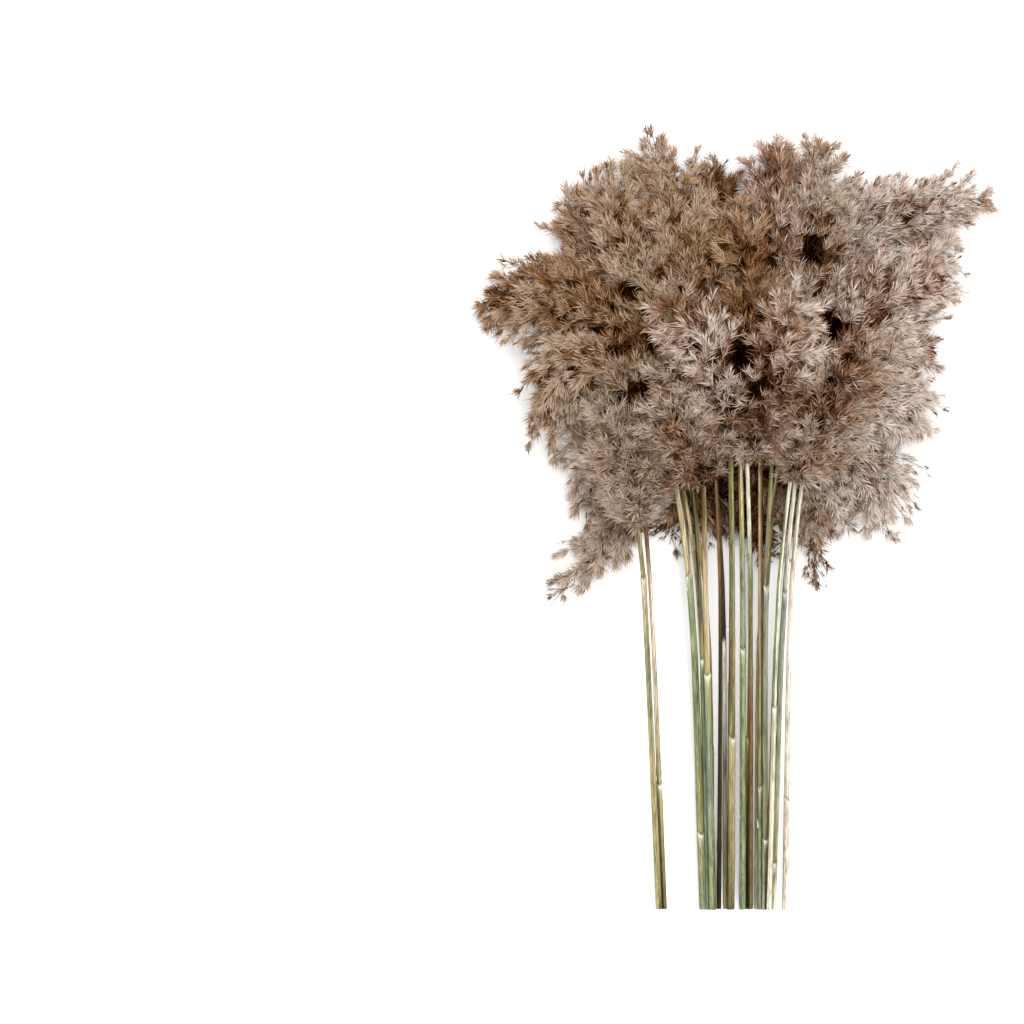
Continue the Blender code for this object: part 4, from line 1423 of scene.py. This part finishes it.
    def _choose(self, layout: Layout, light: np.ndarray, beside: np.ndarray,
                spikelets: int) -> dict[str, np.ndarray]:
        """Pick the seats that are taken.

        Args:
            layout: the plume's branches and seats.
            light: how much light each seat gets, 0 to 1.
            beside: how much brighter it is there than round about.
            spikelets: how many of the seats are taken.

        Returns:
            The places of the spikelets and what the tree reads at each of them, by name.
        """
        draw = self.draw
        count = len(layout.places)
        chance = self.chance(layout, light)
        kept = np.sort(draw.choice(count, size=min(spikelets, count), replace=False,
                                   p=chance / chance.sum()))
        bare = (layout.share > self.bare_end) & (light > self.bare_light) | layout.tail
        bare &= draw.uniform(0.0, 1.0, count) < self.bare_share
        kind = SpikeletKind.FLUFFY.pick(draw, count)
        kind[bare] = SpikeletKind.BARE.pick(draw, bare.sum())
        # seats further in and seats in little light get the wide brown blades of painted shade
        deep = layout.inner | (light < self.shade_fill_below)
        kind[deep] = SpikeletKind.MATTED.pick(draw, deep.sum())
        size = draw.uniform(*self.sizes, count)
        tones = self.mix.tones(layout, light, beside, self.plan.cast, draw)
        seats = {"place": layout.places, "aim": layout.aims, "kind": kind, "size": size,
                 "tone": np.where(bare, self.bare_tone, tones), "turn": draw.uniform(0.0, math.tau, count)}
        return {name: values[kept] for name, values in seats.items()}

    def _base(self, lines: np.ndarray, seats: dict[str, np.ndarray]) -> bpy.types.Object:
        """Put the stalk, the branch lines and the seats into one object, which the tree reads.

        Args:
            lines: the points of each branch.
            seats: the places of the spikelets and what the tree reads at each of them, by name.

        Returns:
            The object.
        """
        stalk = self.spine.at(np.linspace(0.0, 1.0, self.stalk_points))
        runs = [stalk, *lines]
        wood = np.vstack(runs)
        edges, first = [], 0
        for run in runs:
            edges.extend((first + k, first + k + 1) for k in range(len(run) - 1))
            first += len(run)
        taper = self.branch_thick * np.linspace(1.0, self.branch_taper, self.branch_points)
        thick = MM * np.concatenate([np.linspace(*self.stalk_thick, len(stalk)), np.tile(taper, len(lines))])
        count, extra = len(wood), len(seats["place"])
        # the stalk and branches get painted shade where the plumes part
        tone = self.mix.stalk + self.mix.stalk_part_shade * parted(wood)
        mesh = bpy.data.meshes.new("plume_base")
        mesh.from_pydata([tuple(place) for place in np.vstack([wood, seats["place"]])], edges, [])
        columns = {
            "seat": ("BOOLEAN", np.zeros(count, bool), np.ones(extra, bool)),
            "thick": ("FLOAT", thick, np.zeros(extra)),
            "size": ("FLOAT", np.ones(count), seats["size"]),
            "tone": ("FLOAT", tone, seats["tone"]),
            "turn": ("FLOAT", np.zeros(count), seats["turn"]),
            "kind": ("INT", np.zeros(count, int), seats["kind"]),
            "aim": ("FLOAT_VECTOR", np.tile([0.0, 0.0, 1.0], (count, 1)), seats["aim"]),
        }
        for name, (kind, on_wood, on_seats) in columns.items():
            attribute = mesh.attributes.new(name, kind, "POINT")
            attribute.data.foreach_set("vector" if kind == "FLOAT_VECTOR" else "value",
                                       np.concatenate([on_wood, on_seats]).ravel())
        return put("plume_base", mesh)


# ---------------------------------------------------------------- stems

@dataclass
class Stem:
    """One stem: a hollow jointed cane in its leaf sheaths, along the middle of its solid.

    Lengths are in millimetres.
    """

    plan: StemPlan
    sides: int = 12
    step: float = 7.0               # between rings on a plain stretch
    fine_step: float = 1.1          # and from below a mouth to above it
    fine_reach: Pair = (-10.0, 12.0)
    least_step: float = 0.35
    reading: float = 2.0            # between the places where the solid is read
    reading_ends: Pair = (0.2, 2.5) # how far from its foot and neck this starts and stops
    smooth: int = 11                # readings that are smoothed over
    slope_over: int = 5             # readings that give its slope past the last one
    sheath: float = 0.30            # how far a sheath stands off the cane at its mouth
    sheath_edge: float = 0.8        # length over which it comes up to this
    sheath_fade: float = 70.0       # length over which it comes to lie flat below the mouth
    mouth_rise: float = 7.0         # how much higher the mouth is at the back of its notch
    mouth_curve: float = 0.8
    pale: float = 0.85              # how pale the sheath's dry edge is
    pale_fade: float = 3.6          # and how far down
    pale_turn: float = 1.5          # radians from the notch within which it is
    crease: float = 0.6             # how dark the crease above the edge is
    crease_rise: float = 0.9
    crease_turn: float = 1.8
    floor: float = 0.2
    hollow: float = 0.55            # bore over radius, at the cut end
    hollow_depth: float = 14.0
    sliver_width: float = 1.3
    sliver_steps: int = 4
    sliver_pale: float = 0.5
    sliver_top: float = 0.5         # how much its root keeps to the stem's upper side
    sliver_lean: float = 0.4        # its lean at its root, over its mean one
    sliver_curl: float = 1.2        # and what it gains towards its tip
    sliver_taper: float = 0.7       # under 1, it narrows late
    sliver_thick: float = 0.35      # over half its width
    sliver_rise: float = 0.08       # how far it rises, over its length
    sliver_side: float = 0.25       # where it is on the strand map, in turns round the stem
    sharp: float = 50.0             # degrees

    def build(self) -> bpy.types.Object:
        """Make the stem.

        Returns:
            The piece, in its finish.
        """
        solid = frame["nodes"]["stem_" + self.plan.name].data
        corners = np.array([v.co for v in solid.vertices])
        low, high = corners[:, 1].min(), corners[:, 1].max()
        rows = self._stations(low / MM, high / MM) * MM
        centres, radii = self._sections(solid, corners, rows)
        places, marks = self._skin(centres, radii, rows)
        piece = self._mesh(places, marks, rows, (rows - low) / (high - low))
        piece.data.materials.append(StemFinish(self.plan, high / MM).material())
        return piece

    def _stations(self, low: float, high: float) -> np.ndarray:
        """Place the rings: far apart on plain stretches and close at the mouths.

        Args:
            low: the y of the foot in millimetres.
            high: the y of the neck.

        Returns:
            The y of every ring.
        """
        rows = list(np.arange(low, high, self.step)) + [high]
        below, above = self.fine_reach
        for y, _ in self.plan.mouths:
            rows.extend(np.arange(y + below, y + above, self.fine_step))
        rows = np.unique(np.round(np.clip(rows, low, high), 2))
        return rows[np.concatenate([[True], np.diff(rows) > self.least_step])]

    def _sections(self, solid: bpy.types.Mesh, corners: np.ndarray,
                  rows: np.ndarray) -> tuple[np.ndarray, np.ndarray]:
        """Read the middle and the radius of the stem's solid.

        Args:
            solid: the solid's mesh.
            corners: its corners, one row each.
            rows: the y of each ring.

        Returns:
            The middle and the radius at each ring.
        """
        pairs = np.array([(p.vertices[k], p.vertices[(k + 1) % 3]) for p in solid.polygons for k in range(3)])
        starts, ends = corners[pairs[:, 0]], corners[pairs[:, 1]]
        at_foot, at_neck = self.reading_ends
        known = np.arange(corners[:, 1].min() + at_foot * MM, corners[:, 1].max() - at_neck * MM,
                          self.reading * MM)
        middles, radii = [], []
        for y in known:
            crossed = (starts[:, 1] - y) * (ends[:, 1] - y) < 0
            a, b = starts[crossed], ends[crossed]
            spots = a + (b - a) * ((y - a[:, 1]) / (b[:, 1] - a[:, 1]))[:, None]
            middles.append(0.5 * (spots.min(axis=0) + spots.max(axis=0)))
            radii.append(0.5 * (spots[:, 0].max() - spots[:, 0].min()))
        window = np.hanning(self.smooth)[1:-1]
        window /= window.sum()
        centres = np.column_stack([rows, rows, rows])
        past = rows > known[-1]
        for axis in (0, 2):
            middle = np.pad(np.array(middles)[:, axis], len(window) // 2, mode="reflect", reflect_type="odd")
            line = np.convolve(middle, window, "valid")
            back = -1 - self.slope_over
            slope = (line[-1] - line[back]) / (known[-1] - known[back])
            centres[:, axis] = np.where(past, line[-1] + slope * (rows - known[-1]),
                                        np.interp(rows, known, line))
        return centres, np.interp(rows, known, radii)

    def _skin(self, centres: np.ndarray, radii: np.ndarray,
              rows: np.ndarray) -> tuple[np.ndarray, dict[str, np.ndarray]]:
        """Lay the rings round their middles, wider under the sheaths.

        Args:
            centres: the middle of each ring.
            radii: the radius of each ring.
            rows: the y of each ring.

        Returns:
            The rings' corners, and how pale and how creased each one is.
        """
        line = Spine(centres)
        turn = np.arange(self.sides) / self.sides * math.tau
        wide = np.tile(radii[:, None], (1, self.sides))
        pale = np.zeros_like(wide)
        crease = np.zeros_like(wide)
        for y, facing in self.plan.mouths:
            away = np.abs((turn - math.radians(facing) + math.pi) % math.tau - math.pi)
            mouth = (y + self.mouth_rise * (away / math.pi) ** self.mouth_curve)[None, :]
            below = mouth - (rows / MM)[:, None]
            deep = np.maximum(below, 0.0)
            covered = np.clip(below / self.sheath_edge, 0.0, 1.0)
            wide += self.sheath * MM * covered * np.exp(-deep / self.sheath_fade)
            near = np.clip(self.pale_turn - away, 0.0, 1.0)[None, :]
            pale = np.maximum(pale, self.pale * covered * np.exp(-deep / self.pale_fade) * near)
            near = np.clip(self.crease_turn - away, 0.0, self.crease)
            crease = np.maximum(crease, np.exp(-(below + self.crease_rise) ** 2) * near)
        places = (centres[:, None, :] + line.across[:, None, :] * (np.cos(turn) * wide)[:, :, None]
                  + line.up[:, None, :] * (np.sin(turn) * wide)[:, :, None])
        places[0, :, 1] = rows[0]
        places[:, :, 2] = np.maximum(places[:, :, 2], self.floor * MM)
        return places, {"pale": pale, "crease": crease * (1 - pale)}

    def _sliver(self, places: np.ndarray, sliver: Triple) -> tuple[np.ndarray, list[tuple[int, ...]]]:
        """Make a torn strip of sheath that stands off the stem and curls away.

        Args:
            places: the rings' corners.
            sliver: the y of its root and its length in millimetres, and its lean in degrees.

        Returns:
            The strip's corners and its faces.
        """
        y, length, lean = sliver
        ring = places[np.argmin(np.abs(places[:, 0, 1] - y * MM))]
        outward = ring[:, 0] * math.copysign(1.0, lean) + self.sliver_top * ring[:, 2]
        place = ring[np.argmax(outward)].copy()
        steps = self.sliver_steps
        corners = []
        for k in range(steps):
            angle = math.radians(lean) * (self.sliver_lean + self.sliver_curl * k / steps)
            half = self.sliver_width * MM / 2 * (1.0 - k / steps) ** self.sliver_taper
            side = np.array([math.cos(angle), -math.sin(angle), 0.0]) * half
            ridge = np.array([0.0, 0.0, self.sliver_thick * half])
            corners.extend([place - side, place + side, place + ridge])
            ahead = np.array([math.sin(angle), math.cos(angle), self.sliver_rise])
            place = place + length / steps * MM * ahead
        corners.append(place)
        faces = [(0, 1, 2)]
        for first in range(0, 3 * steps, 3):
            for a, b in ((0, 1), (1, 2), (2, 0)):
                if first + 3 < 3 * steps:
                    faces.append((first + b, first + a, first + 3 + a, first + 3 + b))
                else:
                    faces.append((first + b, first + a, 3 * steps))
        return np.array(corners), faces

    def _mesh(self, places: np.ndarray, marks: dict[str, np.ndarray], rows: np.ndarray,
              shares: np.ndarray) -> bpy.types.Object:
        """Return the closed mesh: outer wall, cut rim, bore, and a closed neck.

        Args:
            places: the rings' corners.
            marks: how pale and how creased each corner is.
            rows: the y of each ring.
            shares: how far along the stem each ring is.

        Returns:
            The piece, with its map and its marks.
        """
        count = self.sides
        middle = places[0].mean(axis=0)
        rim = middle + (places[0] - middle) * self.hollow
        floor = rim + np.array([0.0, self.hollow_depth * MM, 0.0])
        rings = np.concatenate([floor[None], rim[None], places])
        levels = [0.0, 0.0, *shares]
        faces, maps = [], []
        for k in range(len(rings) - 1):
            for side in range(count):
                after, left, right = (side + 1) % count, side / count, (side + 1) / count
                faces.append((k * count + side, k * count + after,
                              (k + 1) * count + after, (k + 1) * count + side))
                maps.extend(((left, levels[k]), (right, levels[k]),
                             (right, levels[k + 1]), (left, levels[k + 1])))
        for first, level, order in (((len(rings) - 1) * count, 1.0, range(count)),
                                    (0, 0.0, range(count - 1, -1, -1))):
            faces.append(tuple(first + side for side in order))
            maps.extend((side / count, level) for side in order)
        corners = rings.reshape(-1, 3)
        for sliver in self.plan.slivers:
            strip, strip_faces = self._sliver(places, sliver)
            faces.extend(tuple(len(corners) + k for k in face) for face in strip_faces)
            level = np.interp(strip[0, 1], rows, shares)
            maps.extend([(self.sliver_side, level)] * sum(len(face) for face in strip_faces))
            corners = np.vstack([corners, strip])
        mesh = strand_mesh("reed_stem_" + self.plan.name, corners, faces, maps)
        extra = len(corners) - len(rings) * count
        for key, on_bore, on_sliver in (("pale", self.pale, self.sliver_pale), ("crease", 0.0, 0.0)):
            values = [np.full(2 * count, on_bore), marks[key].ravel(), np.full(extra, on_sliver)]
            mesh.attributes.new(key, "FLOAT", "POINT").data.foreach_set("value", np.concatenate(values))
        mesh.shade_smooth()
        mesh.set_sharp_from_angle(angle=math.radians(self.sharp))
        return put(mesh.name, mesh)


# ---------------------------------------------------------------- the whole bunch

@dataclass
class Bunch:
    """All the reeds: builds every piece and ties it to its solid."""

    seed: int = 7
    seed_step: int = 100           # the plumes' seeds start at this many times the bunch's
    spikelets: int = 28300         # in all the plumes together

    def build(self) -> None:
        """Make every stem and plume and report each one."""
        for plan in STEMS:
            self._tie(Stem(plan).build(), "stem_" + plan.name, plan.tone.value)
        shelf = SpikeletKind.shelf(self.seed)
        tree = PlumeTree(shelf)
        crowd = Crowd([plan.name for plan in PLUMES])
        plumes = [Plume(plan, self.seed * self.seed_step + k) for k, plan in enumerate(PLUMES)]
        layouts = [plume.lay(crowd) for plume in plumes]
        field = LightField(np.vstack([layout.places for layout in layouts]))
        lights = [field.at(layout.places, plume.draw) for plume, layout in zip(plumes, layouts)]
        claims = np.array([plume.chance(layout, light).sum()
                           for plume, layout, (light, _) in zip(plumes, layouts, lights)])
        shares = (self.spikelets * claims / claims.sum()).astype(int)
        for plume, layout, (light, beside), taken in zip(plumes, layouts, lights, shares):
            piece = plume.build(layout, light, beside, int(taken), tree)
            self._tie(piece, "plume_" + plume.plan.name, plume.plan.tone.value)
        for thing in list(shelf.objects):
            bpy.data.objects.remove(thing, do_unlink=True)
        bpy.data.node_groups.remove(tree.tree)
        bpy.data.collections.remove(shelf)

    @staticmethod
    def _tie(piece: bpy.types.Object, node: str, slot: str) -> None:
        """Make a piece ride on the bunch in place of its solid, and report it.

        Args:
            piece: the piece.
            node: the solid that it stands for.
            slot: the record's slot that it takes; not used.
        """
        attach(piece, BODY)
        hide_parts(node)
        LOG.info("%s: %d faces", piece.name, len(piece.data.polygons))


# ---------------------------------------------------------------- studio

@dataclass
class Studio:
    """A pale floor, soft light from above, and a camera that looks straight down."""

    floor_size: float = 8.0
    floor: float = 0.96                    # how much light it gives back
    floor_roughness: float = 0.9
    floor_gloss: float = 0.1
    sky: float = 1.26
    lamp_power: float = 60.0
    lamp_size: float = 1.6
    lamp_place: Triple = (0.35, 0.45, 2.4)
    lamp_aim: Triple = (0.0, 0.1, 0.0)
    camera_height: float = 6.0
    picture: int = 1024                    # pixels across the picture
    pixel: float = 0.7624 * MM             # what a pixel covers on the bunch
    picture_centre: Pair = (-0.171, 0.005) # what the middle of the picture looks at
    focus_height: float = 0.05             # height at which the scale is true
    sensor: float = 36.0
    far: float = 50.0                      # past which the camera sees nothing

    def build(self) -> None:
        """Make the floor, the lights and the camera."""
        self._floor()
        self._light()
        self._camera()

    def _floor(self) -> None:
        """Lay a plain pale floor just below the bunch."""
        half = self.floor_size / 2
        mesh = bpy.data.meshes.new("studio_floor")
        mesh.from_pydata([(-half, -half, 0), (half, -half, 0), (half, half, 0), (-half, half, 0)],
                         [], [(0, 1, 2, 3)])
        material, sheet, shader = new_material("studio_floor")
        sheet.feed(shader, {"Base Color": (self.floor, self.floor, self.floor, 1.0),
                            "Roughness": self.floor_roughness, "Specular IOR Level": self.floor_gloss})
        mesh.materials.append(material)
        floor = put("studio_floor", mesh)

    def _light(self) -> None:
        """Light the bunch from a bright room and one large soft lamp."""
        world = bpy.data.worlds.new("studio_room")
        world.use_nodes = True
        background = world.node_tree.nodes["Background"]
        NodeSheet(world.node_tree).feed(background, {"Color": (1.0, 1.0, 1.0, 1.0), "Strength": self.sky})
        bpy.context.scene.world = world
        lamp = bpy.data.lights.new("studio_lamp", "AREA")
        lamp.shape = "DISK"
        lamp.size = self.lamp_size
        lamp.energy = self.lamp_power
        holder = put("studio_lamp", lamp)
        holder.location = self.lamp_place
        aim = Vector(self.lamp_aim) - holder.location
        holder.rotation_euler = aim.to_track_quat("-Z", "Y").to_euler()

    def _camera(self) -> None:
        """Look straight down from far above, with the bunch where the photograph has it."""
        lens = bpy.data.cameras.new("studio_camera")
        lens.sensor_width = self.sensor
        lens.lens = self.sensor * (self.camera_height - self.focus_height) / (self.picture * self.pixel)
        lens.clip_end = self.far
        camera = put("studio_camera", lens)
        camera.location = (*self.picture_centre, self.camera_height)
        bpy.context.scene.camera = camera


def main() -> None:
    """Build the bunch and the studio."""
    logging.basicConfig(level=logging.INFO, format="%(name)s %(message)s")
    Bunch().build()
    Studio().build()
    bpy.context.scene.view_settings.view_transform = "Standard"


if __name__ == "__main__":
    main()
